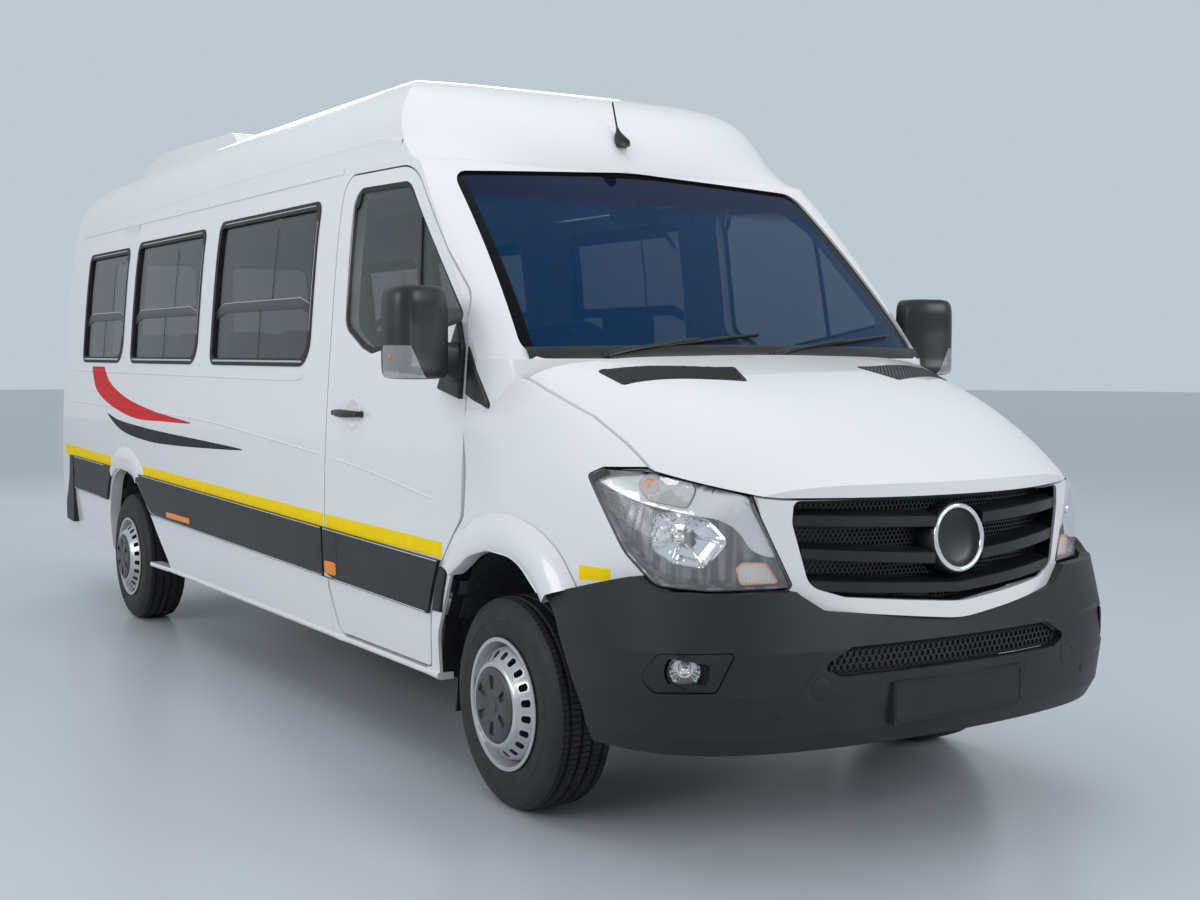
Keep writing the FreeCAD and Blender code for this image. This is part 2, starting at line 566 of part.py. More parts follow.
def build_bumpers():
    """Front bumper with its intake, plate panel and lamp recesses, and the rear bumper with its corner caps."""
    shell = bumper_solid(0).cut(bumper_solid(28)).common(bumper_zone())
    arch = prism("xz", FRONT_ARCH, -1300, 1300)
    upper = prism("yz", mirrored_outline(grown_open(SURROUND)), FRONT_AXLE_X + 600, NOSE_X + 100)
    front_x = NOSE_X + 100
    intake = prism("yz", mirrored_intake(0), FRONT_AXLE_X + 700, front_x)
    front = shell.cut(Part.Compound([arch, upper, intake]))
    recess = bumper_solid(-30).cut(bumper_solid(14)).common(corner_prism(FOG_RECESS, FOG_ANGLE))
    barrel = fog_barrel(FOG_RADIUS + SEAM)
    lamp = lamp_prism(SEAM)
    front = front.cut(Part.Compound([recess, mirror(recess), barrel, mirror(barrel), lamp, mirror(lamp)]))
    plate = box(NOSE_X - 100, NOSE_X, -PLATE_WIDTH / 2, PLATE_WIDTH / 2, PLATE_Z - PLATE_HEIGHT / 2,
                PLATE_Z + PLATE_HEIGHT / 2).cut(bumper_solid(20))
    front = front.fuse(plate)
    keep("front_bumper", max(front.Solids, key=lambda s: s.Volume))
    lamp = fog_barrel(FOG_RADIUS).common(bumper_solid(18)).cut(bumper_solid(80))
    keep("front_lamps", lamp, mirror(lamp))
    mesh = bumper_solid(14).cut(bumper_solid(24)).common(prism("yz", mirrored_intake(-SEAM), FRONT_AXLE_X + 700,
                                                               front_x))
    keep("grille", max(mesh.Solids, key=lambda s: s.Volume))

    low, step, corner_top = 440.0, 690.0, 850.0
    plan = [(TAIL_X, -700, 90), (TAIL_X + 110, -975, 140), (TAIL_X + 445, -1002), (TAIL_X + 445, 1002),
            (TAIL_X + 110, 975, 140), (TAIL_X, 700, 90)]
    rear = prism("xy", plan, low, corner_top)
    rear = rear.cut(body_tube(-SEAM, -SEAM)).cut(box(BODY_TAIL_X - SEAM, 0, -960, 960, 0, 3000))
    rear = rear.cut(box(TAIL_X - 10, BODY_TAIL_X + 50, -REAR_DOOR_EDGE_Y - 25, REAR_DOOR_EDGE_Y + 25, step - 10, 3000))
    keep("rear_bumper", max(rear.Solids, key=lambda s: s.Volume))


def mirrored_intake(by):
    return grown(INTAKE + [(-c[0],) + tuple(c[1:]) for c in reversed(INTAKE)], by)


def fog_barrel(radius):
    """The fog lamp's bore, square to the corner of the bumper."""
    x, y, z = FOG_LAMP
    centre = V(FRONT_AXLE_X + x, y, z)
    return Part.makeCylinder(radius, 300, centre - FOG_OUT * 150, FOG_OUT)


def grown_open(half):
    return [(c[0], c[1] - SEAM) + tuple(c[2:]) for c in half[:-1]] + [(0, half[-1][1] - SEAM, half[-1][2])]


# Small parts on the outside

MOULDING_DEPTH = 200.0


def moulding_band(x0, x1, top_shift=0.0):
    """The rising side moulding between two stations behind the front axle, seen from the side."""
    def top(x):
        return 770 - 0.0155 * (x + 200) + top_shift
    return [(FRONT_AXLE_X + x0, top(x0)), (FRONT_AXLE_X + x1, top(x1)), (FRONT_AXLE_X + x1, top(x1) - MOULDING_DEPTH),
            (FRONT_AXLE_X + x0, top(x0) - MOULDING_DEPTH)]


WIPER_SWEEPS = [((-600, -6, 14), (40, 34, 14)), ((60, -6, 14), (610, 34, 14))]


def on_screen(y, up, out):
    """A point on the windscreen: across, up the glass from its base and out from it."""
    return (SCREEN_BASE_X - back_at(y) - 0.75 * up + 0.66 * out, y, SCREEN_BASE_Z + 0.66 * up + 0.75 * out)


def back_at(y):
    """How far the windscreen's base has curved back at a distance from the centre line."""
    stations = SCREEN_STATIONS
    for (y0, a0, _, _), (y1, a1, _, _) in zip(stations, stations[1:]):
        if y0 <= abs(y) <= y1:
            return a0 + (a1 - a0) * (abs(y) - y0) / (y1 - y0)
    return stations[-1][1]


def build_trim():
    """Side mouldings, rear lamps, mud flaps, wipers and aerial."""
    strip = side_skin(-MOULDING_PROUD, -SEAM)
    arch = prism("xz", grown(REAR_ARCH, 34), -1200, -600)
    door = prism("xz", grown(FRONT_DOOR, SEAM), -1200, -600)
    slide = prism("xz", grown(SLIDING_DOOR, SEAM), -1200, -600)
    body_band = prism("xz", moulding_band(-5400, -1440), -1200, -600)
    right = strip.common(body_band).cut(Part.Compound([arch, door]))
    keep("side_mouldings", *right.Solids)
    left = strip.common(body_band).cut(Part.Compound([arch, door, slide]))
    left = left.fuse(strip.common(body_band).common(prism("xz", grown(SLIDING_DOOR, -DOOR_GAP), -1200, -600)))
    keep("side_mouldings", *[mirror(s) for s in left.Solids])
    front_band = prism("xz", moulding_band(-1432, -380), -1200, -600)
    on_door = strip.common(front_band).common(prism("xz", grown(FRONT_DOOR, -DOOR_GAP - 3), -1200, -600))
    keep("door_moulding_right", on_door)
    keep("door_moulding_left", mirror(on_door))

    for y in (-1, 1):
        lamp = box(BODY_TAIL_X - 22, BODY_TAIL_X - SEAM, 812, 925, 960, 1420)
        keep("tail_lamps", lamp if y > 0 else mirror(lamp))
        for outline, behind in ((FRONT_ARCH, FRONT_AXLE_X - 400), (REAR_ARCH, REAR_AXLE_X - 300)):
            flap = prism("xz", grown(outline, LINER), -885, -640).cut(prism("xz", outline, -900, -600))
            flap = flap.common(box(behind - 300, behind, -1000, 0, 215, LINER_FOOT - SEAM))
            keep("mud_flaps", flap if y < 0 else mirror(flap))

    for start, end in WIPER_SWEEPS:
        arm = cylinder(7, on_screen(*start), on_screen(*end))
        pivot = cylinder(10, on_screen(start[0], start[1], 0), on_screen(start[0], start[1], 18))
        wiper = arm.fuse(pivot).cut(screen_cut(-SEAM))
        keep("wipers", max(wiper.Solids, key=lambda s: s.Volume))

    foot = Part.makeCone(42, 12, 60, V(FRONT_AXLE_X - 790, 0, 2300), V(-0.35, 0, 1))
    mast = Part.makeCylinder(4, 150, V(FRONT_AXLE_X - 808, 0, 2350), V(-0.3, 0, 1))
    aerial = foot.fuse(mast).cut(screen_cut(-SEAM))
    keep("aerial", max(aerial.Solids, key=lambda s: s.Volume))

    hump = [(REAR_AXLE_X + 650, 2560), (REAR_AXLE_X + 500, 2668, 120), (REAR_AXLE_X - 700, 2690, 200),
            (REAR_AXLE_X - 1120, 2640, 100), (REAR_AXLE_X - 1200, 2540)]
    unit = prism("xz", hump, -520, 520).cut(body_tube(-SEAM))
    keep("air_conditioning_unit", max(unit.Solids, key=lambda s: s.Volume))


def build_mirrors():
    """A tall mirror head on an arm that leaves a foot at the front corner of the door's window.

    Everything but the head's outer face stays behind the door's hinge line, so that it clears the pillar.
    """
    plan = offset_x(FRONT_AXLE_X, [(-320, -1019, 20), (-262, -1022, 15), (-206, -1104, 40), (-186, -1205, 30),
                                   (-240, -1249, 40), (-320, -1249, 20)])
    head = prism("xy", plan, 1395, 1702)
    head = head.common(prism("yz", [(-1262, 1395, 50), (-1010, 1395, 30), (-1010, 1702, 60), (-1240, 1702, 80)],
                             FRONT_AXLE_X - 330, FRONT_AXLE_X - 150))
    arm = prism("yz", [(-1050, 1425, 20), (-940, 1380), (-940, 1500), (-1050, 1530, 20)],
                FRONT_AXLE_X - 322, FRONT_AXLE_X - 268)
    sail = prism("xz", offset_x(FRONT_AXLE_X, [(-430, 1362), (-262, 1328), (-262, 1500), (-306, 1592, 15)]),
                 -1100, -900)
    sail = sail.common(side_skin(-18, 0)).cut(body_tube(-SEAM))
    whole = head.multiFuse([arm, sail]).cut(body_tube(-SEAM))
    whole = max(whole.Solids, key=lambda s: s.Volume)
    keep("mirror_right", whole)
    keep("mirror_left", mirror(whole))


# Cabin

def build_cabin():
    """Floor, wheel arches, dashboard and seats."""
    room = body_tube(WALL + SEAM, WALL + SEAM).common(behind_screen(WALL + 30))
    floor = room.common(box(BODY_TAIL_X + WALL + SEAM, FRONT_AXLE_X - 30, -1100, 1100, FLOOR_HEIGHT - FLOOR_THICKNESS,
                            FLOOR_HEIGHT))
    wells = []
    for outline in (FRONT_ARCH, REAR_ARCH):
        well = prism("xz", grown(outline, LINER + SEAM), -1200, -WHEELHOUSE_INNER_Y + SEAM)
        wells += both(well)
    floor = floor.cut(Part.Compound(wells))
    keep("floor", max(floor.Solids, key=lambda s: s.Volume))

    for outline in (FRONT_ARCH, REAR_ARCH):
        liner = prism("xz", grown(outline, LINER), -905, -WHEELHOUSE_INNER_Y)
        liner = liner.cut(prism("xz", outline, -1200, -WHEELHOUSE_INNER_Y - LINER))
        liner = liner.common(box(-4000, 4000, -1200, 0, LINER_FOOT, 1200))
        keep("wheel_arches", *both(liner))

    dash = prism("xz", offset_x(FRONT_AXLE_X, [(-40, 1150), (-30, 1425), (-120, 1478, 30), (-400, 1510, 60),
                                               (-500, 1400, 60), (-470, 1080, 80), (-250, 1050, 60)]), -860, 860)
    hood = prism("xz", offset_x(FRONT_AXLE_X, [(-250, 1450), (-300, 1560, 40), (-420, 1570, 40), (-470, 1440)]),
                 -640, -240)
    centre, tilt = V(FRONT_AXLE_X - 560, -430, 1470), V(-0.62, 0, 0.78)
    bore = Part.makeCylinder(28.05, 400, centre - tilt * 350, tilt)
    dash = dash.fuse(hood).common(body_tube(WALL + SEAM, WALL + SEAM)).common(screen_cut(WALL + SEAM)).cut(bore)
    keep("dashboard", max(dash.Solids, key=lambda s: s.Volume))
    ring = ring_about(185, 13, centre, tilt)
    hub = Part.makeCylinder(62, 40, centre - tilt * 30, tilt)
    column = Part.makeCylinder(28, 110, centre - tilt * 135, tilt)
    wheel = ring.fuse(hub).fuse(column)
    for turn in (0, 120, 240):
        spoke = Part.makeBox(150, 44, 18, V(45, -22, -12))
        spoke.rotate(V(0, 0, 0), V(0, 0, 1), turn + 90)
        spoke.Placement = FreeCAD.Placement(centre, FreeCAD.Rotation(V(0, 0, 1), tilt)).multiply(spoke.Placement)
        wheel = wheel.fuse(spoke)
    keep("steering_wheel", wheel)

    for y in (-440, 400):
        keep("front_seats", seat(FRONT_AXLE_X - 1250, y, 500, 360, FLOOR_HEIGHT + SEAM, 1480))
    for row in range(4):
        x = DOOR_REAR_X - 900 - row * 790
        keep("passenger_seats", seat(x, -660, 400, 330, FLOOR_HEIGHT + SEAM, 1400))
        keep("passenger_seats", seat(x, -245, 400, 330, FLOOR_HEIGHT + SEAM, 1400))
        keep("passenger_seats", seat(x, 660, 400, 330, FLOOR_HEIGHT + SEAM, 1400))


def ring_about(radius, half, centre, axis):
    """A ring of square section about an axis."""
    points = [V(radius - half, 0, -half), V(radius + half, 0, -half), V(radius + half, 0, half), V(radius - half, 0, half)]
    ring = Part.Face(Part.makePolygon(points + [points[0]])).revolve(V(0, 0, 0), V(0, 0, 1), 360)
    ring.Placement = FreeCAD.Placement(centre, FreeCAD.Rotation(V(0, 0, 1), axis))
    return ring


def seat(x, y, width, height, foot, top):
    """One seat as a solid: pedestal, cushion, raked back and head restraint, facing forward from its back at x."""
    cushion_top = foot + height + 90
    low = prism("xz", [(x + 20, cushion_top - 150), (x + 500, cushion_top - 110), (x + 510, cushion_top, 60),
                       (x + 20, cushion_top - 20)], y - width / 2, y + width / 2)
    stand = box(x + 90, x + 400, y - width * 0.32, y + width * 0.32, foot, cushion_top - 120)
    well = prism("xz", grown(REAR_ARCH, LINER + SEAM), -1200, -WHEELHOUSE_INNER_Y)
    stand = stand.cut(Part.Compound(both(well)))
    back = prism("xz", [(x + 20, cushion_top - 130), (x + 130, cushion_top - 60), (x - 30, top - 20, 50),
                        (x - 130, top - 20, 50)], y - width / 2, y + width / 2)
    rest = prism("xz", [(x - 125, top + 22), (x - 140, top + 190, 30), (x - 50, top + 190, 30), (x - 40, top + 22)],
                 y - 130, y + 130)
    posts = [box(x - 92, x - 78, y + s - 6, y + s + 6, top - 60, top + 60) for s in (-60, 60)]
    return low.multiFuse([stand, back, rest] + posts)


# Running gear

TYRE_PROFILE = [(RIM_RADIUS, TYRE_WIDTH / 2), (TYRE_RADIUS - 12, TYRE_WIDTH / 2), (TYRE_RADIUS, TYRE_WIDTH / 2 - 12)]
RIM_PROFILE = [(RIM_RADIUS - SEAM, TYRE_WIDTH / 2 + SEAM), (RIM_RADIUS + 12, TYRE_WIDTH / 2 + SEAM),
               (RIM_RADIUS + 12, TYRE_WIDTH / 2 + 6), (RIM_RADIUS - 15, TYRE_WIDTH / 2 + 6), (RIM_RADIUS - 15, 74),
               (98, 74), (98, 92), (0, 92), (0, 44), (98, 44), (98, 62), (RIM_RADIUS - 15, 62),
               (RIM_RADIUS - 15, -104), (RIM_RADIUS - SEAM, -104)]
VENTS = 20


def revolve(profile, x, y, hand):
    """A closed (radius, offset) outline turned about the wheel's axle; the offset counts outwards."""
    points = [V(x, y + hand * offset, TYRE_RADIUS + radius) for radius, offset in profile]
    face = Part.Face(Part.makePolygon(points + [points[0]]))
    return face.revolve(V(x, y, TYRE_RADIUS), V(0, 1, 0), 360)


def build_wheels():
    tyre = TYRE_PROFILE + [(r, -w) for r, w in reversed(TYRE_PROFILE)]
    for end, x in (("front", FRONT_AXLE_X), ("rear", REAR_AXLE_X)):
        for name, hand in (("right", -1), ("left", 1)):
            y = hand * TRACK / 2
            keep("tyre_" + end + "_" + name, revolve(tyre, x, y, hand))
            rim = revolve(RIM_PROFILE, x, y, hand)
            holes = []
            for i in range(VENTS):
                hole = Part.makeBox(32, 90, 26, V(-16, -45, 144))
                hole.rotate(V(0, 0, 0), V(0, 1, 0), 360.0 / VENTS * i)
                hole.translate(V(x, y + hand * 70, TYRE_RADIUS))
                holes.append(hole)
            keep("rim_" + end + "_" + name, rim.cut(Part.Compound(holes)))


def build_chassis():
    """Rails, front suspension, steering knuckles, rear axle with springs, engine, tank and exhaust."""
    rail_top = FLOOR_HEIGHT - FLOOR_THICKNESS - SEAM
    for hand in (-1, 1):
        rail = box(BODY_TAIL_X + 80, FRONT_AXLE_X + 880, 395, 465, rail_top - 110, rail_top)
        rail = rail if hand > 0 else mirror(rail)
        keep("chassis_rails", rail)
    cross = [box(x, x + 70, -395, 395, rail_top - 90, rail_top - 10)
             for x in (BODY_TAIL_X + 120, REAR_AXLE_X + 900, REAR_AXLE_X + 2100, FRONT_AXLE_X - 800)]
    rails = NODES["chassis_rails"]
    NODES["chassis_rails"] = [rails[0].multiFuse([rails[1]] + cross)]

    beam = box(FRONT_AXLE_X - 190, FRONT_AXLE_X + 190, -390, 390, 235, 330)
    arms = []
    for hand in (-1, 1):
        arm = Part.Face(Part.makePolygon([V(FRONT_AXLE_X - 180, hand * 380, 240), V(FRONT_AXLE_X + 180, hand * 380, 240),
                                          V(FRONT_AXLE_X + 35, hand * 700, 212), V(FRONT_AXLE_X - 35, hand * 700, 212),
                                          V(FRONT_AXLE_X - 180, hand * 380, 240)])).extrude(V(0, 0, 22))
        eye = cylinder(42, (FRONT_AXLE_X, hand * KINGPIN_Y, 205), (FRONT_AXLE_X, hand * KINGPIN_Y, 239.7))
        arms += [arm.cut(box(FRONT_AXLE_X - 60, FRONT_AXLE_X + 60, min(hand * 655, hand * 760),
                             max(hand * 655, hand * 760), 0, 300)), eye,
                 box(FRONT_AXLE_X - 30, FRONT_AXLE_X + 30, *sorted((hand * 640, hand * 670)), 208, 238)]
        strut = cylinder(27, (FRONT_AXLE_X, hand * KINGPIN_Y, 470.3), (FRONT_AXLE_X, hand * KINGPIN_Y, 836))
        spring = cylinder(66, (FRONT_AXLE_X, hand * KINGPIN_Y, 706), (FRONT_AXLE_X, hand * KINGPIN_Y, 828))
        keep("front_suspension", strut.fuse(spring))
        knuckle = cylinder(36, (FRONT_AXLE_X, hand * KINGPIN_Y, 240), (FRONT_AXLE_X, hand * KINGPIN_Y, 470))
        spindle = cylinder(34, (FRONT_AXLE_X, hand * KINGPIN_Y, TYRE_RADIUS), (FRONT_AXLE_X, hand * 899.4, TYRE_RADIUS))
        disc = cylinder(150, (FRONT_AXLE_X, hand * 776, TYRE_RADIUS), (FRONT_AXLE_X, hand * 804, TYRE_RADIUS))
        name = "right" if hand < 0 else "left"
        caliper = box(FRONT_AXLE_X - 165, FRONT_AXLE_X - 95, *sorted((hand * 745, hand * 822)), 290, 405)
        keep("knuckle_" + name, knuckle.multiFuse([spindle, disc, caliper]))
    links = [box(FRONT_AXLE_X + x, FRONT_AXLE_X + x + 60, *sorted((hand * 385, hand * 420)), 325,
                 rail_top - 110 - SEAM) for x in (-180, 120) for hand in (-1, 1)]
    keep("front_suspension", beam.multiFuse(arms + links))

    axle = [cylinder(52, (REAR_AXLE_X, -899.4, TYRE_RADIUS), (REAR_AXLE_X, 899.4, TYRE_RADIUS)),
            cylinder(150, (REAR_AXLE_X - 110, 0, TYRE_RADIUS), (REAR_AXLE_X + 120, 0, TYRE_RADIUS)),
            cylinder(40, (REAR_AXLE_X + 120, 0, TYRE_RADIUS), (FRONT_AXLE_X - 563, 0, 470))]
    for hand in (-1, 1):
        axle.append(cylinder(140, (REAR_AXLE_X, hand * 776, TYRE_RADIUS), (REAR_AXLE_X, hand * 806, TYRE_RADIUS)))
        leaf = Part.Arc(V(REAR_AXLE_X - 720, hand * 520, 500), V(REAR_AXLE_X, hand * 520, TYRE_RADIUS + 60),
                        V(REAR_AXLE_X + 660, hand * 520, 500)).toShape()
        low = Part.Arc(V(REAR_AXLE_X - 720, hand * 520, 480), V(REAR_AXLE_X, hand * 520, TYRE_RADIUS + 25),
                       V(REAR_AXLE_X + 660, hand * 520, 480)).toShape()
        ends = [Part.LineSegment(V(REAR_AXLE_X + x, hand * 520, 480), V(REAR_AXLE_X + x, hand * 520, 500)).toShape()
                for x in (660, -720)]
        strip = Part.Face(Part.Wire(Part.__sortEdges__([leaf, low] + ends))).extrude(V(0, hand * 70, 0))
        axle.append(strip)
        for x in (-720, 600):
            axle.append(box(REAR_AXLE_X + x, REAR_AXLE_X + x + 60, *sorted((hand * 465, hand * 590)), 478, rail_top - 12))
    keep("rear_axle", axle[0].multiFuse(axle[1:]))

    engine = box(FRONT_AXLE_X - 200, FRONT_AXLE_X + 520, -300, 300, 420, 1080)
    engine = engine.fuse(prism("xz", offset_x(FRONT_AXLE_X, [(-200, 420), (-560, 400, 40), (-560, 560, 40), (-200, 600)]),
                               -130, 130))
    mounts = [box(FRONT_AXLE_X + 80, FRONT_AXLE_X + 200, *sorted((h * 299, h * 394.7)), rail_top - 100, rail_top - 20)
              for h in (-1, 1)]
    keep("engine", engine.multiFuse(mounts))
    tank = prism("yz", [(470.3, 300, 60), (860, 300, 60), (860, 560, 40), (470.3, 560, 40)],
                 FRONT_AXLE_X - 1500, FRONT_AXLE_X - 700)
    straps = [box(FRONT_AXLE_X + x, FRONT_AXLE_X + x + 40, 480, 850, 555, rail_top) for x in (-1400, -850)]
    keep("fuel_tank", tank.multiFuse(straps))
    height = rail_top - 110 - 100
    start, end = REAR_AXLE_X + 1010, REAR_AXLE_X + 1610
    pipe = cylinder(32, (FRONT_AXLE_X - 500, -300, height), (end, -300, height))
    muffler = cylinder(92, (start, -300, height), (end, -300, height))
    outlet = cylinder(30, (start + 5, -300, height), (REAR_AXLE_X + 480, -760, height - 60))
    hangers = [box(x, x + 30, -440, -290, height + 60, rail_top - 110 - SEAM) for x in (start + 90, end - 120)]
    keep("exhaust", pipe.multiFuse([muffler, outlet] + hangers))


def main():
    os.makedirs("parts", exist_ok=True)
    for build in (build_body, build_glass, build_nose, build_bumpers, build_trim, build_mirrors, build_cabin,
                  build_wheels, build_chassis):
        build()
    for name, shapes in NODES.items():
        solids = [solid for shape in shapes for solid in shape.Solids]
        whole = solids[0] if len(solids) == 1 else Part.makeCompound(solids)
        whole.exportStep("parts/" + name + ".step")


if __name__ == "__main__":
    main()
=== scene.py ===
"""A long high-roof minibus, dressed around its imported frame."""
import math
import bmesh
import bpy
from mathutils import Matrix, Vector
from mathutils.bvhtree import BVHTree


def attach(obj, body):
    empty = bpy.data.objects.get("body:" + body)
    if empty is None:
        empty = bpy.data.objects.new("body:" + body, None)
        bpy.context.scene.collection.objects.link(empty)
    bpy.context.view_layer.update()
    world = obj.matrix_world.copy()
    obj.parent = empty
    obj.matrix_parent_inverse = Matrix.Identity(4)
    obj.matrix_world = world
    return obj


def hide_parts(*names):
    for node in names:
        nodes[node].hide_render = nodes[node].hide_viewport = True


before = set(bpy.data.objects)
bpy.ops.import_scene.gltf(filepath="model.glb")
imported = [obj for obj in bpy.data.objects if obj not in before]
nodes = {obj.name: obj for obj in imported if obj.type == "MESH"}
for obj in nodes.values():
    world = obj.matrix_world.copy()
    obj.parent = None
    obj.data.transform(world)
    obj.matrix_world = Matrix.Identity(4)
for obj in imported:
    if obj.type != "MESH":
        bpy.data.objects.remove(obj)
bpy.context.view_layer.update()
scene = bpy.context.scene
FRONT_AXLE_X, REAR_AXLE_X = 2.405, -1.920
SIDES = (("right", -1), ("left", 1))

# The camera stands a little to the right of the nose at eye height, as the photograph was taken: place,
# turn to the left, tilt and roll in degrees, and the lens on a 36 mm wide frame.
CAMERA_PLACE = Vector((6.750, -3.354, 1.478))
CAMERA_TURN, CAMERA_TILT, CAMERA_ROLL = (math.radians(a) for a in (147.60, -3.54, 0.10))
sight = Vector((math.cos(CAMERA_TILT) * math.cos(CAMERA_TURN), math.cos(CAMERA_TILT) * math.sin(CAMERA_TURN),
                math.sin(CAMERA_TILT)))
right = sight.cross(Vector((0, 0, 1))).normalized()
camera = bpy.data.objects.new("camera", bpy.data.cameras.new("camera"))
facing = Matrix((right, right.cross(sight), -sight)).transposed() @ Matrix.Rotation(CAMERA_ROLL, 3, "Z")
camera.matrix_world = Matrix.Translation(CAMERA_PLACE) @ facing.to_4x4()
camera.data.sensor_width, camera.data.lens, camera.data.clip_end = 36.0, 46.36, 200.0
scene.collection.objects.link(camera)
scene.camera = camera

# The studio: a pale grey-blue floor with a soft shine, a pale sky all round, one long soft box overhead and
# three weaker ones for the nose, the right flank and the tail. Each is named with its place, the point that
# it faces, its size and its power.
scene.view_settings.view_transform = "Standard"
for name, place, aim, size, power in (
        ("lamp_over", (0.5, 0, 7.0), (0, 0, 0), (9.0, 5.0), 200),
        ("lamp_front", (9.0, 3.5, 4.0), (2.5, 0, 1.0), (4.0, 3.0), 200),
        ("lamp_right", (2.0, -9.0, 4.5), (0.5, 0, 1.0), (8.0, 3.0), 250),
        ("lamp_back", (-9.0, 4.0, 4.5), (-2.0, 0, 1.0), (5.0, 3.0), 170)):
    data = bpy.data.lights.new(name, "AREA")
    data.shape, data.size, data.size_y, data.energy = "RECTANGLE", size[0], size[1], power
    lamp = bpy.data.objects.new(name, data)
    lamp.location = place
    lamp.visible_glossy = name != "lamp_over"
    lamp.rotation_euler = (Vector(aim) - Vector(place)).to_track_quat("-Z", "Y").to_euler()
    scene.collection.objects.link(lamp)
world = bpy.data.worlds.new("studio")
scene.world = world
world.use_nodes = True
sky = world.node_tree
sky.nodes.clear()
sky_out, path, seen, around, either = (sky.nodes.new("ShaderNode" + kind) for kind in (
    "OutputWorld", "LightPath", "Background", "Background", "MixShader"))
seen.inputs["Color"].default_value = (0.52, 0.58, 0.63, 1)
around.inputs["Color"].default_value = (0.90, 0.94, 1.0, 1)
around.inputs["Strength"].default_value = 0.60
seen_by = path.outputs["Is Camera Ray"]
for ray in ("Is Glossy Ray", "Is Transmission Ray"):
    either_ray = sky.nodes.new("ShaderNodeMath")
    either_ray.operation = "MAXIMUM"
    sky.links.new(seen_by, either_ray.inputs[0])
    sky.links.new(path.outputs[ray], either_ray.inputs[1])
    seen_by = either_ray.outputs[0]
for source, target in ((seen_by, either.inputs[0]), (around.outputs[0], either.inputs[1]),
                       (seen.outputs[0], either.inputs[2]), (either.outputs[0], sky_out.inputs[0])):
    sky.links.new(source, target)


class Wire:
    """A socket in one material's node tree, with arithmetic that adds Math nodes."""

    def __init__(self, tree, socket=None):
        self.tree, self.socket = tree, socket

    def node(self, kind, settings=None, values=None, out=0):
        """Any other node: type, settings, and the values or links of its sockets by name or number."""
        made = self.tree.nodes.new("ShaderNode" + kind)
        for key, value in (settings or {}).items():
            setattr(made, key, value)
        for key, value in (values or {}).items():
            if isinstance(value, Wire):
                self.tree.links.new(value.socket, made.inputs[key])
            else:
                made.inputs[key].default_value = value
        return Wire(self.tree, made.outputs[out])

    def math(self, operation, other=0.0):
        return self.node("Math", {"operation": operation}, {0: self, 1: other})

    def __add__(self, other):
        return self.math("ADD", other)

    def __sub__(self, other):
        return self.math("SUBTRACT", other)

    def __mul__(self, other):
        return self.math("MULTIPLY", other)

    __radd__, __rmul__ = __add__, __mul__

    def step(self, low, high):
        """0 below low, 1 above high and smooth between; the other way round where low is the higher."""
        return self.node("MapRange", {"interpolation_type": "SMOOTHSTEP"}, {"Value": self, "From Min": low,
                                                                           "From Max": high})

    def blend(self, first, second):
        """The colour or value first where this is 0 and second where it is 1."""
        return self.node("Mix", {"data_type": "RGBA"}, {0: self, 6: first, 7: second}, out=2)

    def axis(self, number):
        """One coordinate of a place."""
        return self.node("SeparateXYZ", None, {0: self}, out=number)

    def noise(self, scale, detail):
        return self.node("TexNoise", None, {"Vector": self, "Scale": scale, "Detail": detail})

    def bump(self, strength, distance):
        return self.node("Bump", None, {"Height": self, "Strength": strength, "Distance": distance})


def principled(name, colour, roughness, mottle=0.04, mottle_size=0.05, grain=0.0, grain_size=0.0015,
               rub=0.08,
               **plain):
    """A Principled material whose colour and roughness drift a little and whose skin has a grain.

    mottle is the share by which the colour varies, over mottle_size metres; rub does the same for the
    roughness, and grain is the height in metres of a bump of grain_size. Returns the material, the place in
    object space to build on, and a function that feeds a wire into one of the shader's sockets.
    """
    made = bpy.data.materials.new(name)
    made.use_nodes = True
    shader = made.node_tree.nodes["Principled BSDF"]

    def lay(socket, value):
        made.node_tree.links.new(value.socket, shader.inputs[socket])

    for key, value in plain.items():
        shader.inputs[key.replace("_", " ")].default_value = value
    place = Wire(made.node_tree).node("TexCoord", out="Object")
    dark, light = ([min(1.0, c * (1 + by)) for c in colour] + [1.0] for by in (-mottle, mottle))
    lay("Base Color", place.noise(1.0 / mottle_size, 4.0).step(0.3, 0.7).blend(dark, light))
    lay("Roughness", roughness * (1 - rub) + place.noise(0.35 / mottle_size, 3.0) * (2 * rub * roughness))
    if grain:
        lay("Normal", place.noise(1.0 / grain_size, 2.0).bump(1.0, grain))
    return made, place, lay


def finish(*look, **plain):
    """The material alone, where nothing is built on it."""
    return principled(*look, **plain)[0]


def colour_of(material):
    """What feeds a material's colour now."""
    shader = material.node_tree.nodes["Principled BSDF"]
    return Wire(material.node_tree, shader.inputs["Base Color"].links[0].from_socket)


def paint_node(material, *names):
    """Gives CAD nodes a material."""
    for name in names:
        mesh = nodes[name].data
        mesh.materials.clear()
        mesh.materials.append(material)


def piece(name, bm, material, body, slot, smooth=35.0, replaced=()):
    """Makes a finished piece of a bmesh, smoothly shaded up to an angle, in place of the named nodes."""
    mesh = bpy.data.meshes.new(name)
    bm.to_mesh(mesh)
    bm.free()
    mesh.materials.append(material)
    mesh.shade_smooth()
    mesh.set_sharp_from_angle(angle=math.radians(smooth))
    made = bpy.data.objects.new(name, mesh)
    scene.collection.objects.link(made)
    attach(made, body)
    if replaced:
        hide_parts(*replaced)
    return made


def sides_flipped(bm):
    """The same bmesh mirrored across the vehicle's middle."""
    for vert in bm.verts:
        vert.co.y = -vert.co.y
    bmesh.ops.reverse_faces(bm, faces=bm.faces[:])
    return bm


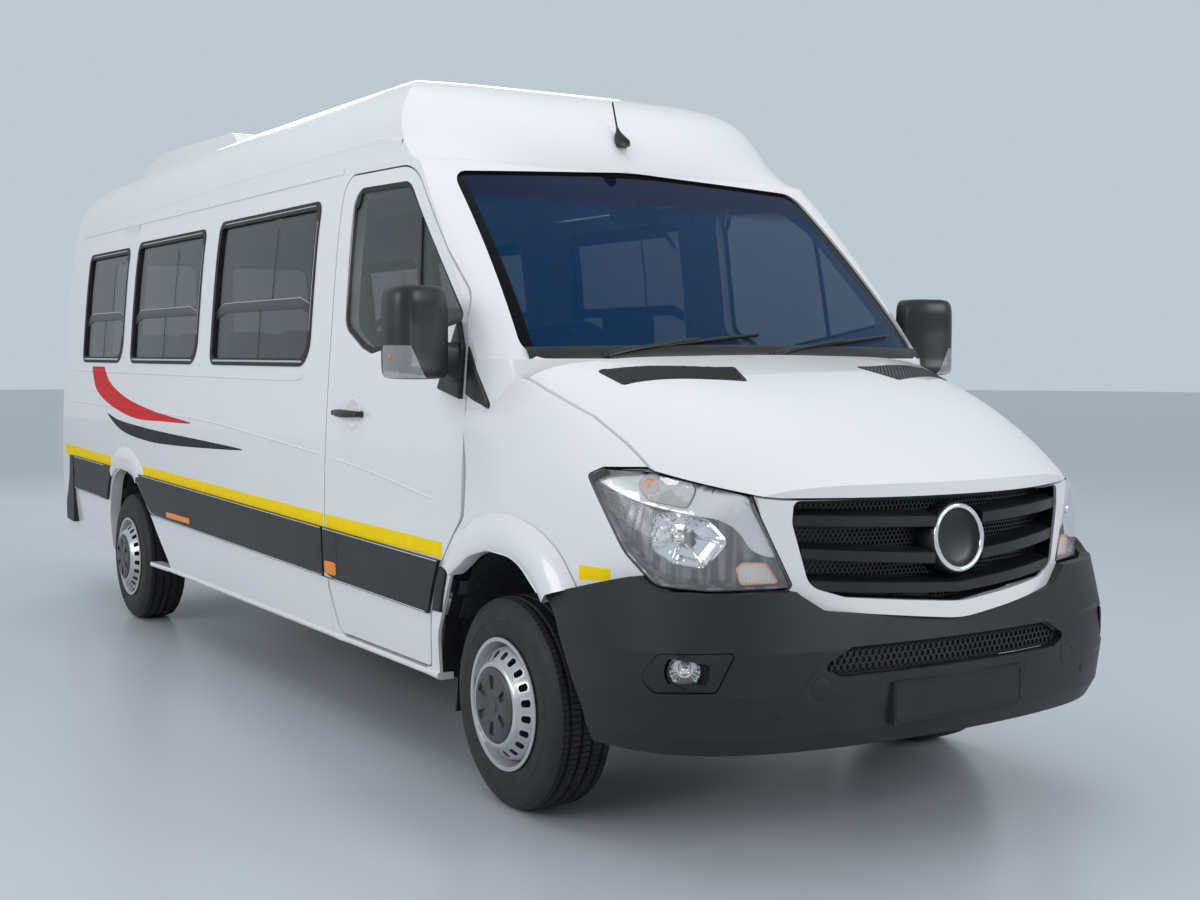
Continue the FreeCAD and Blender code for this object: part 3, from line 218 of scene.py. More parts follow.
def both_sides(*parts):
    """Pieces of the right side and their mirrored copies on the left: the arguments of piece for each.

    The name, the body and a replaced node end in _ where the side follows.
    """
    for name, bm, material, body, slot, smooth, *replaced in parts:
        for side, hand in SIDES:
            copy = bm.copy()
            piece(name + side, sides_flipped(copy) if hand > 0 else copy, material,
                  body + side if body.endswith("_") else body, slot, smooth,
                  [node + side if node.endswith("_") else node for node in replaced
                   if node.endswith("_") or hand < 0])
        bm.free()


# The body shell, doors, bonnet, wings and grille surround are pressed steel in gloss white: a pure white
# coat under clear lacquer, with the faint ripple that every sprayed panel has.
white_paint, place, lay = principled("white_paint", (0.80, 0.81, 0.825), 0.30, 0.008, 0.6, rub=0.1,
                                     Coat_Weight=0.9,
                                     Coat_Roughness=0.04)
lay("Normal", place.noise(2.2, 1.0).bump(0.2, 0.004))
paint_node(white_paint, "side_panel_right", "side_panel_left", "sliding_door", "roof", "windscreen_frame",
           "front_door_right", "front_door_left", "rear_door_right", "rear_door_left", "bonnet",
           "wing_right",
           "wing_left", "grille_surround", "air_conditioning_unit")

# The bumpers are one charcoal moulding in grained plastic, coloured right through, with a weak blue shine on
# what faces up; the rear one carries a ribbed tread on its step. The side mouldings are long plastic bars
# clipped to the flanks, a little smoother. Window rubbers and mud flaps are black rubber, dull and dusty.
charcoal = finish("charcoal_plastic", (0.025, 0.026, 0.029), 0.46, 0.12, 0.25, 0.0002, 0.0016,
                  Specular_IOR_Level=0.26)
moulding_plastic = finish("moulding_plastic", (0.030, 0.031, 0.033), 0.40, 0.1, 0.2, 0.00015, 0.0014,
                          Specular_IOR_Level=0.22)
window_rubber = finish("window_rubber", (0.012, 0.012, 0.013), 0.55, 0.2, 0.08, 0.0002, 0.002)
paint_node(charcoal, "front_bumper", "rear_bumper")
paint_node(moulding_plastic, "side_mouldings", "door_moulding_right", "door_moulding_left")
paint_node(window_rubber, "window_frames", "mud_flaps")


def tinted(name, colour, alpha, coat=1.0, specular=0.5):
    """Dyed glass, seen through as far as its alpha allows."""
    return principled(name, colour, 0.02, 0.05, 1.5, Alpha=alpha, IOR=1.52, Coat_Weight=coat,
                      Coat_Roughness=0.01,
                      Specular_IOR_Level=specular)


# The windscreen is laminated glass with a blue dye, a darker band along its top and a printed black border
# that hides the glue line. The side windows and the doors' glass are tinted too.
SCREEN_BLUE, SCREEN_ALPHA = (0.002, 0.036, 0.105), 0.54
screen_glass, place, lay = tinted("windscreen_glass", SCREEN_BLUE, SCREEN_ALPHA, 0.0, 0.10)
height, across = place.axis(2), place.axis(1).math("ABSOLUTE")
band = height.step(1.995, 2.075)
edge = (across + (height - 1.462) * 0.118).step(0.826, 0.832)
rim_low, rim_high = height.step(1.502, 1.496), (height + across * across * 0.055).step(2.150, 2.156)
border = edge.math("MAXIMUM", rim_low).math("MAXIMUM", rim_high)
tint = band.blend(SCREEN_BLUE + (1,), (0.004, 0.010, 0.045, 1))
lay("Base Color", border.blend(tint, (0.004, 0.004, 0.005, 1)))
lay("Alpha", (border + band * 0.34 + SCREEN_ALPHA).math("MINIMUM", 1.0))
paint_node(screen_glass, "windscreen")
paint_node(tinted("side_window_glass", (0.006, 0.017, 0.020), 0.52, specular=0.18)[0], "side_glass",
           "rear_door_glass_right", "rear_door_glass_left")
paint_node(tinted("door_window_glass", (0.020, 0.045, 0.042), 0.36)[0], "front_door_glass_right",
           "front_door_glass_left")

# Each tyre is a 235/65 R16 road tyre, turned about its axle: a bulged sidewall with moulded rings, and four
# grooves between five ribs whose blocks are parted by fine sipes.
TYRE_OUTLINE = [(0.2052, -0.098), (0.2085, -0.105), (0.2170, -0.1085), (0.2400, -0.1110), (0.2650, -0.1120),
                (0.2675, -0.1105), (0.2700, -0.1120), (0.2950, -0.1110), (0.3130, -0.1065),
                (0.3160, -0.1045),
                (0.3190, -0.1050), (0.3290, -0.0985), (0.3370, -0.0900), (0.3405, -0.0800)]
TREAD_OUTLINE = [(0.3418, -0.068), (0.3345, -0.066), (0.3345, -0.058), (0.3425, -0.056), (0.3428, -0.026),
                 (0.3345, -0.024), (0.3345, -0.016), (0.3430, -0.014)]
TYRE_STEPS, WHEEL_Y, WHEEL_Z = 108, 0.856, 0.347
HUB = Vector((FRONT_AXLE_X, -WHEEL_Y, WHEEL_Z))


def faced(bm, toward=None):
    """Turns the faces outward; with a direction, so that on the whole they look that way."""
    bmesh.ops.recalc_face_normals(bm, faces=bm.faces[:])
    if toward is not None and sum(f.normal.dot(Vector(toward)) * f.calc_area() for f in bm.faces) < 0:
        bmesh.ops.reverse_faces(bm, faces=bm.faces[:])
    return bm


def turned(outline, centre, axis, steps=64, closed=False, side=None):
    """A (radius, distance along the axis) outline spun once about any axis through a point."""
    bm = bmesh.new()
    axis = Vector(axis).normalized()
    side = side or axis.orthogonal().normalized()
    points = [bm.verts.new(Vector(centre) + side * r + axis * d) for r, d in outline]
    pairs = list(zip(points, points[1:])) + ([(points[-1], points[0])] if closed else [])
    edges = [bm.edges.new(pair) for pair in pairs]
    bmesh.ops.spin(bm, geom=points + edges, cent=centre, axis=axis, dvec=(0, 0, 0), angle=2 * math.pi,
                   steps=steps, use_merge=True, use_normal_flip=False)
    bmesh.ops.remove_doubles(bm, verts=bm.verts[:], dist=1e-6)
    return faced(bm)


def on_wheel(outline, steps, closed=False):
    """An outline (radius, distance towards the outside of the vehicle) spun about the front right hub."""
    return turned([(r, -d) for r, d in outline], HUB, (0, 1, 0), steps, closed, Vector((0, 0, 1)))


def from_hub(face):
    """A face's middle as seen from the hub, and its distance from the axle."""
    spot = face.calc_center_median() - HUB
    return spot, math.hypot(spot.x, spot.z)


def on_wheels(name, bm, material, slot, smooth, replaced=""):
    """A piece of the front right wheel and its copies on the other three."""
    for end, back in (("front", 0), ("rear", REAR_AXLE_X - FRONT_AXLE_X)):
        for side, hand in SIDES:
            copy = bm.copy()
            bmesh.ops.translate(copy, verts=copy.verts[:], vec=(back, 0, 0))
            corner = "%s_%s" % (end, side)
            piece(name + corner, sides_flipped(copy) if hand > 0 else copy, material, "wheel_" + corner,
                  slot, smooth,
                  [replaced + corner] if replaced else ())
    bm.free()


half = TYRE_OUTLINE + TREAD_OUTLINE
whole_tyre = half + [(radius, -offset) for radius, offset in reversed(half)] + [(0.2048, 0.094),
                                                                                (0.2048, -0.094)]
tyre = on_wheel([(radius, -offset) for radius, offset in whole_tyre], TYRE_STEPS, True)
ribs = [f for f in tyre.faces if from_hub(f)[1] > 0.3405 and abs(from_hub(f)[0].y) < 0.0795
        and abs(f.normal.y) < 0.35]
bmesh.ops.inset_individual(tyre, faces=ribs, thickness=0.0016, depth=0.0036, use_even_offset=True)
shoulder = [f for f in tyre.faces if 0.338 < from_hub(f)[1] < 0.3415 and f.normal.y ** 2 > 0.03
            and abs(from_hub(f)[0].y) > 0.069]
bmesh.ops.inset_individual(tyre, faces=shoulder, thickness=0.0014, depth=0.003, use_even_offset=True)
on_wheels("tyre_tread_", tyre, finish("tyre_rubber", (0.016, 0.016, 0.017), 0.62, 0.25, 0.06, 0.0002, 0.002),
          "tyre_rubber", 28, "tyre_")

# Each wheel is a silver-lacquered steel pressing: a rolled rim with its flange, a deep well, a disc that
# bulges out round a ring of twenty round vents, steep like a cone, and a charcoal clip-on cap with six
# slots.
RIM_OUTLINE = [(0.2035, 0.1165), (0.2160, 0.1165), (0.2168, 0.1135), (0.2150, 0.1123), (0.2080, 0.1123),
               (0.2040, 0.108), (0.2035, 0.098), (0.1960, 0.088), (0.1930, 0.060), (0.1880, 0.052),
               (0.1860, -0.020),
               (0.1960, -0.040), (0.2020, -0.098), (0.2046, -0.1038), (0.2000, -0.1038), (0.1980, -0.098),
               (0.1925, -0.040), (0.1830, -0.022), (0.1830, 0.040), (0.1885, 0.058), (0.1905, 0.084),
               (0.1985, 0.100),
               (0.1995, 0.110)]
DISC_OUTLINE = [(0.1895, 0.070), (0.1860, 0.078), (0.1800, 0.1000), (0.1450, 0.1330), (0.1400, 0.1400),
                (0.1350, 0.1445), (0.1290, 0.1465), (0.1245, 0.1450), (0.1215, 0.1400), (0.0300, 0.1400)]
CAP_OUTLINE = [(0.0, 0.1520), (0.024, 0.1530), (0.026, 0.1500), (0.036, 0.1495), (0.052, 0.1525),
               (0.098, 0.1540),
               (0.114, 0.1510), (0.1205, 0.1460), (0.1212, 0.1405), (0.0, 0.1405)]
VENTS, VENT_RADIUS, DISC_THICK = 20, 0.0162, 0.0035
VENT_BAND = (0.145, 0.180)


def join(*meshes):
    """One bmesh out of several, which are freed."""
    whole = bmesh.new()
    for part in meshes:
        kept = bpy.data.meshes.new("part")
        part.to_mesh(kept)
        part.free()
        whole.from_mesh(kept)
        bpy.data.meshes.remove(kept)
    return whole


disc = on_wheel(DISC_OUTLINE, VENTS * 8)
# the vents: a wedge of the cone round each centre is pushed into a circle and opened
bmesh.ops.delete(disc, geom=[f for f in disc.faces
                             if VENT_BAND[0] + 0.0005 < from_hub(f)[1] < VENT_BAND[1] - 0.0005],
                 context="FACES")
inner_ring, outer_ring = (sorted((v for v in disc.verts
                                  if abs(math.hypot(*(v.co - HUB).xz) - radius) < 1e-3),
                                 key=lambda v: math.atan2(v.co.z - HUB.z, v.co.x - HUB.x))
                          for radius in VENT_BAND)
count = len(inner_ring)
for start in range(0, count, 8):
    low, high = ([ring[(start + i) % count] for i in range(9)] for ring in (inner_ring, outer_ring))
    loop = low + high[::-1]
    middle = sum((v.co for v in loop), Vector()) / len(loop)
    radial, sideways = (high[4].co - low[4].co).normalized(), (low[8].co - low[0].co).normalized()
    turns = [math.atan2((v.co - middle).dot(radial), (v.co - middle).dot(sideways)) for v in loop]
    hole = [disc.verts.new(middle + VENT_RADIUS * (math.cos(a) * sideways + math.sin(a) * radial))
            for a in turns]
    for i in range(len(loop)):
        j = (i + 1) % len(loop)
        disc.faces.new((loop[i], loop[j], hole[j], hole[i]))
bmesh.ops.remove_doubles(disc, verts=disc.verts[:], dist=1e-5)
faced(disc, (0, -1, 0))
bmesh.ops.solidify(disc, geom=disc.faces[:], thickness=DISC_THICK)
on_wheels("wheel_steel_", join(on_wheel(RIM_OUTLINE, 96, True), disc),
          finish("silver_steel", (0.56, 0.565, 0.575), 0.30, 0.03, 0.05, Metallic=0.75, Coat_Weight=0.5,
                 Coat_Roughness=0.15), "wheel_steel", 40, "rim_")
cap = on_wheel(CAP_OUTLINE, 72)
slots = [f for f in cap.faces if 0.053 < from_hub(f)[1] < 0.097 and f.normal.y < -0.5
         and 18 < math.degrees(math.atan2(from_hub(f)[0].z, from_hub(f)[0].x)) % 60 < 42]
bmesh.ops.inset_region(cap, faces=slots, thickness=0.003, depth=-0.010)
on_wheels("wheel_cap_", cap, finish("cap_plastic", (0.060, 0.063, 0.068), 0.40, 0.08, 0.04, 0.0001, 0.001),
          "moulding_plastic", 35)
# dark_inside is a flat near-black. On the rings round the towing-eye covers and parking sensors, and on the
# sheet behind the intake mesh, it is painted shade. It also makes the small dark eye on each turn-signal
# bulb.
dark_inside = finish("dark_inside", (0.010, 0.010, 0.010), 0.8, 0.2)

# White flares swell out of the flanks over each wheel arch. They are pressed with the panel: each rises in a
# soft hollow from its foot, turns over at the crest, and its lip is folded in towards the wheel.
FRONT_FOOT = [(-0.378, 0.758), (-0.297, 0.860), (-0.231, 0.906), (-0.167, 0.939), (-0.031, 0.965),
              (0.099, 0.966),
              (0.212, 0.942), (0.289, 0.907), (0.353, 0.865), (0.430, 0.780)]
FRONT_CREST = [(-0.338, 0.758), (-0.262, 0.802), (-0.205, 0.836), (-0.142, 0.858), (-0.040, 0.880),
               (0.076, 0.882),
               (0.170, 0.864), (0.235, 0.834), (0.290, 0.797), (0.335, 0.750)]
REAR_FOOT = [(-0.266, 0.812), (-0.222, 0.880), (-0.130, 0.938), (0.0, 0.962), (0.130, 0.956), (0.250, 0.922),
             (0.346, 0.872), (0.395, 0.822)]
REAR_CREST = [(-0.238, 0.812), (-0.185, 0.846), (-0.105, 0.870), (0.0, 0.882), (0.110, 0.874),
              (0.205, 0.848),
              (0.268, 0.816), (0.272, 0.808)]


def surface_of(*names):
    """The skin of CAD nodes, for finding points on it."""
    verts, faces = [], []
    for name in names:
        mesh, start = nodes[name].data, len(verts)
        verts += [nodes[name].matrix_world @ v.co for v in mesh.vertices]
        faces += [[start + i for i in polygon.vertices] for polygon in mesh.polygons]
    return BVHTree.FromPolygons(verts, faces)


def laid(skin, point, toward, lift=0.0, reach=0.6):
    """The point moved along a direction onto the skin, or else to the nearest place, and lifted."""
    toward = Vector(toward).normalized()
    hit = skin.ray_cast(Vector(point) - toward * reach, toward, 2 * reach)[0]
    return (hit or skin.find_nearest(Vector(point))[0]) - toward * lift


def curve_through(points, count, closed=False):
    """So many points on a Catmull-Rom curve through the given ones, which may lack their last axis."""
    points = [Vector(p).to_3d() for p in points]
    spans = len(points) if closed else len(points) - 1
    result = []
    for i in range(count):
        at = spans * i / (count if closed else count - 1)
        k = min(int(at), spans - 1)
        t = at - k
        if closed:
            a, b, c, d = (points[(k + j) % len(points)] for j in (-1, 0, 1, 2))
        else:
            b, c = points[k], points[k + 1]
            a = points[k - 1] if k else b * 2 - c
            d = points[k + 2] if k + 2 < len(points) else c * 2 - b
        result.append(0.5 * (2 * b + (c - a) * t + (2 * a - 5 * b + 4 * c - d) * t * t
                             + (3 * b - a - 3 * c + d) * t * t * t))
    return result


def angles(count):
    return [2 * math.pi * k / count for k in range(count)]


def grid(rows, wrap=False, around=False, first=False, last=False, toward=None, thick=0.0, as_built=False):
    """A bmesh of quads between rows of points, turned outward, or in a direction, and given a thickness.

    wrap joins each row's ends, around joins the last row to the first; first and last close those rows, and
    as_built leaves the faces as they come.
    """
    bm = bmesh.new()
    made = [[bm.verts.new(p) for p in row] for row in rows]
    for one, two in list(zip(made, made[1:])) + ([(made[-1], made[0])] if around else []):
        for i in range(len(one) if wrap else len(one) - 1):
            j = (i + 1) % len(one)
            bm.faces.new((one[i], one[j], two[j], two[i]))
    if first:
        bm.faces.new(made[0][::-1])
    if last:
        bm.faces.new(made[-1])
    if not as_built:
        faced(bm, toward)
    if thick:
        bmesh.ops.solidify(bm, geom=bm.faces[:], thickness=thick)
    return bm


def ahead(x, y, z):
    """A point whose X is counted from the front axle."""
    return Vector((FRONT_AXLE_X + x, y, z))


FLARE_PROFILE = [(0.0, 0.0005), (0.12, 0.0045), (0.30, 0.0095), (0.52, 0.0145), (0.75, 0.0172),
                 (0.92, 0.0180)]
FLARE_LIP = [(0, 0, 0), (0.006, 0.0005, 0), (0.034, 0.0015, 0), (0.038, 0.006, 0), (0.036, 0.060, 0)]
FLARE_Y, FLARE_RISE = 1.0085, 0.0180
right_side = surface_of("side_panel_right", "front_door_right", "wing_right", "windscreen_frame")
for end, axle, foot, crest in (("front", FRONT_AXLE_X, FRONT_FOOT, FRONT_CREST),
                               ("rear", REAR_AXLE_X, REAR_FOOT, REAR_CREST)):
    rows = []
    for low, high in zip(curve_through([(axle + x, -0.99, z) for x, z in foot], 44),
                         curve_through([(axle + x, -FLARE_Y, z) for x, z in crest], 44)):
        base = laid(right_side, low, (0, 1, 0), 0.0006)
        inward = Vector((axle - high.x, 0, 0.42 - high.z)).normalized()
        row = []
        for share, rise in FLARE_PROFILE:
            along = low.lerp(high, share)
            along.y = base.y + (-FLARE_Y - base.y) * min(1.0, rise / FLARE_RISE) ** 0.8
            row.append(along)
        rows.append(row + [high + inward * by + Vector((0, y, 0)) for by, y, z in FLARE_LIP])
    both_sides(("arch_flare_%s_" % end, grid(rows, toward=(0, -1, 0), thick=0.0012), white_paint, "body",
                "body_paint", 50))

# Behind each wheel the black liner of the wheel house runs on down to the sill, in pressed felt and
# plastic. Short strips close it ahead of the wheel and at its crest as well.
LINER_FEET = {"crest": [(-0.3560, 0.725), (-0.3900, 0.650), (-0.4330, 0.565)],
              "front": [(-0.4440, 0.572), (-0.4600, 0.480), (-0.4790, 0.342)],
              "ahead": [(-3.790, 0.572), (-3.685, 0.478), (-3.590, 0.342)],
              "behind": [(-4.673, 0.572), (-4.687, 0.460), (-4.701, 0.342)]}
for name, line in LINER_FEET.items():
    away, inner = 0.004 if name == "ahead" else -0.004, 0.880 if name == "crest" else 0.520
    line = curve_through([ahead(x, 0, z) for x, z in line], 12)
    liner = grid([[p + Vector((shift, -y, 0)) for p in line] for y, shift in (
        (inner, 0.0), (0.930, 0.0), (0.948, 0.0), (0.948, away), (inner, away))], around=True)
    bmesh.ops.holes_fill(liner, edges=[e for e in liner.edges if e.is_boundary], sides=0)
    both_sides(("arch_liner_%s_" % name, faced(liner), window_rubber, "body", "black_plastic", 40))

# Each headlamp is one clear cover over a dark smoked bowl: a faceted main reflector, a fluted amber-bulbed
# turn signal inside a chrome sweep along the top that turns down at the inner corner, and a small side
# light. The whole unit is dropped into the corner of the nose and sealed with a black bead.
LAMP_TURN = math.radians(50)
LAMP_OUT = Vector((math.cos(LAMP_TURN), -math.sin(LAMP_TURN), 0))
LAMP_ALONG = Vector((math.sin(LAMP_TURN), math.cos(LAMP_TURN), 0))
LAMP_RIM = [(-0.262, 1.120, 0.012), (-0.205, 1.145, 0.020), (-0.030, 1.151, 0.200), (0.110, 1.124, 0.150),
            (0.262, 1.080, 0.010), (0.380, 0.808, 0.015), (0.150, 0.803, 0.100), (0.0, 0.815, 0.100),
            (-0.110, 0.905, 0.150)]
REFLECTOR = [(-0.026, 0.985, 0.03), (-0.010, 1.020, 0.03), (0.080, 1.022, 0.05), (0.140, 1.005, 0.03),
             (0.188, 0.945, 0.02), (0.130, 0.868, 0.02), (0.045, 0.880, 0.05), (-0.024, 0.920, 0.03)]
TURN_SIGNAL = [(-0.088, 1.100, 0.03), (-0.046, 1.137, 0.03), (0.062, 1.126, 0.02), (0.100, 1.090, 0.025),
               (0.082, 1.040, 0.02), (-0.040, 1.056, 0.03)]
CHROME_SWEEP = [(-0.245, 1.118), (-0.180, 1.134), (-0.050, 1.140), (0.080, 1.118), (0.180, 1.092),
                (0.246, 1.072),
                (0.262, 1.040), (0.318, 0.925), (0.326, 0.904), (0.304, 0.902), (0.262, 0.922),
                (0.224, 0.975),
                (0.180, 1.005), (0.120, 1.018), (0.030, 1.030), (-0.060, 1.046), (-0.160, 1.076)]
SIDE_LIGHT = [(0.222, 0.872, 0.012), (0.240, 0.887, 0.008), (0.300, 0.884, 0.006), (0.334, 0.828, 0.006),
              (0.234, 0.824, 0.012)]


def rounded(outline, steps=6):
    """The points of an outline whose corners are (u, v) or (u, v, radius)."""
    result = []
    for i, corner in enumerate(outline):
        here = Vector(corner[:2])
        if len(corner) < 3:
            result.append(here)
            continue
        before = Vector(outline[i - 1][:2]) - here
        after = Vector(outline[(i + 1) % len(outline)][:2]) - here
        reach = min(corner[2] / math.tan(before.angle(after) / 2), 0.49 * before.length, 0.49 * after.length)
        start, end = here + before.normalized() * reach, here + after.normalized() * reach
        for t in (k / steps for k in range(steps + 1)):
            result.append(start * (1 - t) ** 2 + here * (2 * t * (1 - t)) + end * t * t)
    return result


def sliced(bm, place, normal):
    """Cuts every face along a plane."""
    bmesh.ops.bisect_plane(bm, geom=bm.verts[:] + bm.edges[:] + bm.faces[:], plane_co=place, plane_no=normal,
                           dist=1e-6)


def cut_sheet(points, spot, cell, hole=()):
    """A flat sheet of an outline, cut into a grid of cells so that it can follow a curved skin.

    spot turns the outline's two coordinates into a point in space; hole is an outline that is left out.
    """
    bm = bmesh.new()
    loops = [[bm.verts.new(spot(p[0], p[1])) for p in ring] for ring in (points, hole) if ring]
    if hole:
        edges = [bm.edges.new(pair) for ring in loops for pair in zip(ring, ring[1:] + ring[:1])]
        bmesh.ops.triangle_fill(bm, edges=edges, use_beauty=True, use_dissolve=False)
    else:
        bm.faces.new(loops[0])
    origin = spot(0, 0)
    for axis, step in ((0, spot(1, 0) - origin), (1, spot(0, 1) - origin)):
        low, high = min(p[axis] for p in points), max(p[axis] for p in points)
        for i in range(1, int((high - low) / cell) + 1):
            if high - low - cell * i > cell * 0.3:
                sliced(bm, origin + step * (low + cell * i), step)
    return bm


def thickened(bm, toward, depth, edge=0.0, segments=2):
    """Gives a sheet a thickness behind it, closes it, and rounds the rim of its face by edge."""
    behind = Vector(toward).normalized() * depth
    faced(bm, -behind)
    rim, top = [e for e in bm.edges if e.is_boundary], bm.faces[:]
    sides = bmesh.ops.extrude_edge_only(bm, edges=rim)["geom"]
    back = bmesh.ops.duplicate(bm, geom=top)["geom"]
    low = [v for v in sides + back if isinstance(v, bmesh.types.BMVert)]
    bmesh.ops.translate(bm, verts=low, vec=behind)
    bmesh.ops.reverse_faces(bm, faces=[f for f in back if isinstance(f, bmesh.types.BMFace)])
    bmesh.ops.remove_doubles(bm, verts=low, dist=1e-6)
    if edge:
        bmesh.ops.bevel(bm, geom=[e for e in rim if e.is_valid], offset=edge, offset_type="OFFSET",
                        segments=segments,
                        affect="EDGES", profile=0.5, material=-1)
    return faced(bm)


def sheet(points, spot, toward, skin, lift, depth, cell=0.04, edge=0.0, segments=2, hole=(), reach=0.6):
    """A plate inside a line of points, its face lift proud of a skin and its back depth deeper.

    lift is a length or a function that tells it for a point.
    """
    bm = cut_sheet(points, spot, cell, hole)
    if skin is not None:
        for vert in bm.verts:
            vert.co = laid(skin, vert.co, toward, lift(vert.co) if callable(lift) else lift, reach)
    return thickened(bm, toward, depth, edge, segments)


def plate(outline, *rest):
    """The same for an outline with rounded corners."""
    return sheet(rounded(outline), *rest)


def inset_line(points, by):
    """A closed line of points moved towards its own inside by a distance."""
    following = points[1:] + points[:1]
    side = by if sum(a.x * b.y - b.x * a.y for a, b in zip(points, following)) > 0 else -by
    runs = ((after - before).normalized() for before, after in zip(points[-1:] + points[:-1], following))
    return [here + Vector((-run.y, run.x)) * side for here, run in zip(points, runs)]


def rings(line, steps, spot):
    """Rows of points inside a closed line, for each step's inset and its height or depth."""
    return [[spot(p.x, p.y, rise) for p in inset_line(line, by)] for by, rise in steps]


def tube(rows):
    """A closed body through rings of points."""
    return grid(rows, wrap=True, first=True, last=True)


def ball(place, radius, around):
    bm = bmesh.new()
    bmesh.ops.create_uvsphere(bm, u_segments=around, v_segments=10, radius=radius,
                              matrix=Matrix.Translation(place))
    return bm


lamp_clear = finish("lamp_cover", (0.80, 0.83, 0.86), 0.03, 0.01, 0.3, Alpha=0.10, IOR=1.5, Coat_Weight=1.0,
                    Coat_Roughness=0.01)
lamp_bowl, place, lay = principled("lamp_bowl", (0.085, 0.090, 0.100), 0.22, 0.15, 0.03, Metallic=0.5)
streak = place.node("VectorMath", {"operation": "MULTIPLY"}, {0: place, 1: (9.0, 9.0, 0.6)})
lay("Base Color",
    streak.noise(4.0, 1.0).step(0.42, 0.66).blend((0.055, 0.058, 0.066, 1), (0.30, 0.31, 0.33, 1)))
lamp_chrome = finish("lamp_chrome", (0.88, 0.89, 0.90), 0.07, 0.02, Metallic=1.0)
satin_chrome = finish("lamp_satin_chrome", (0.78, 0.79, 0.80), 0.24, 0.02, Metallic=0.6)
amber = finish("amber_bulb", (0.90, 0.25, 0.01), 0.20, 0.1, 0.01)
fluted_clear = finish("fluted_lens", (0.86, 0.88, 0.92), 0.10, 0.03, 0.02, Alpha=0.28, IOR=1.5)
side_glow = finish("side_light_glow", (0.95, 0.84, 0.68), 0.22, 0.15, 0.03)
side_clear = finish("side_light_lens", (0.93, 0.93, 0.92), 0.08, 0.03, 0.02, Alpha=0.45, IOR=1.5)
bead_black = finish("black_trim", (0.010, 0.010, 0.011), 0.35, 0.2, 0.05, 0.0001)
lamp_skin = surface_of("front_lamps")


def lamp_spot(u, z):
    return ahead(0, 0, z) + LAMP_ALONG * u + LAMP_OUT * 1.05


def on_lamp(u, z, depth=0.0):
    """A point on the headlamp's face, or that far behind it."""
    return laid(lamp_skin, lamp_spot(u, z), -LAMP_OUT, -depth)


def lamp_plate(points, lift, depth, cell=0.03, edge=0.0, hole=()):
    return sheet(points, lamp_spot, -LAMP_OUT, lamp_skin, lift, depth, cell, edge, hole=hole)


def fluting(deep, high, pitch):
    """The lift of a lens that far behind the headlamp's face, with upright flutes."""
    return lambda p: high * math.cos((p - ahead(0, 0, 0)).dot(LAMP_ALONG) * 2 * math.pi / pitch) - deep


rim, side_rim, signal = rounded(LAMP_RIM), rounded(SIDE_LIGHT), rounded(TURN_SIGNAL)
bowl = grid(rings(rim, ((0.005, 0.074), (0.005, 0.004), (0.010, 0.006), (0.016, 0.050), (0.028, 0.066)),
                  on_lamp),
            wrap=True, as_built=True)
seal = grid(rings(rim, ((0.0, -0.0015), (0.0065, -0.0020), (0.0065, 0.006), (0.0, 0.006)), on_lamp),
            wrap=True,
            around=True)
sweep = [p.to_2d() for p in curve_through(CHROME_SWEEP, 70, closed=True)]
centre_u = sum(p.x for p in signal) / len(signal)
cup = grid([[on_lamp(centre_u + (p.x - centre_u) * s, 1.085 + (p.y - 1.085) * s, d) for p in signal]
            for s, d in ((1.0, 0.008), (0.92, 0.020), (0.70, 0.032), (0.40, 0.040), (0.06, 0.043))],
           wrap=True,
           as_built=True)
bulb_spot = on_lamp(-0.046, 1.096, 0.0165)
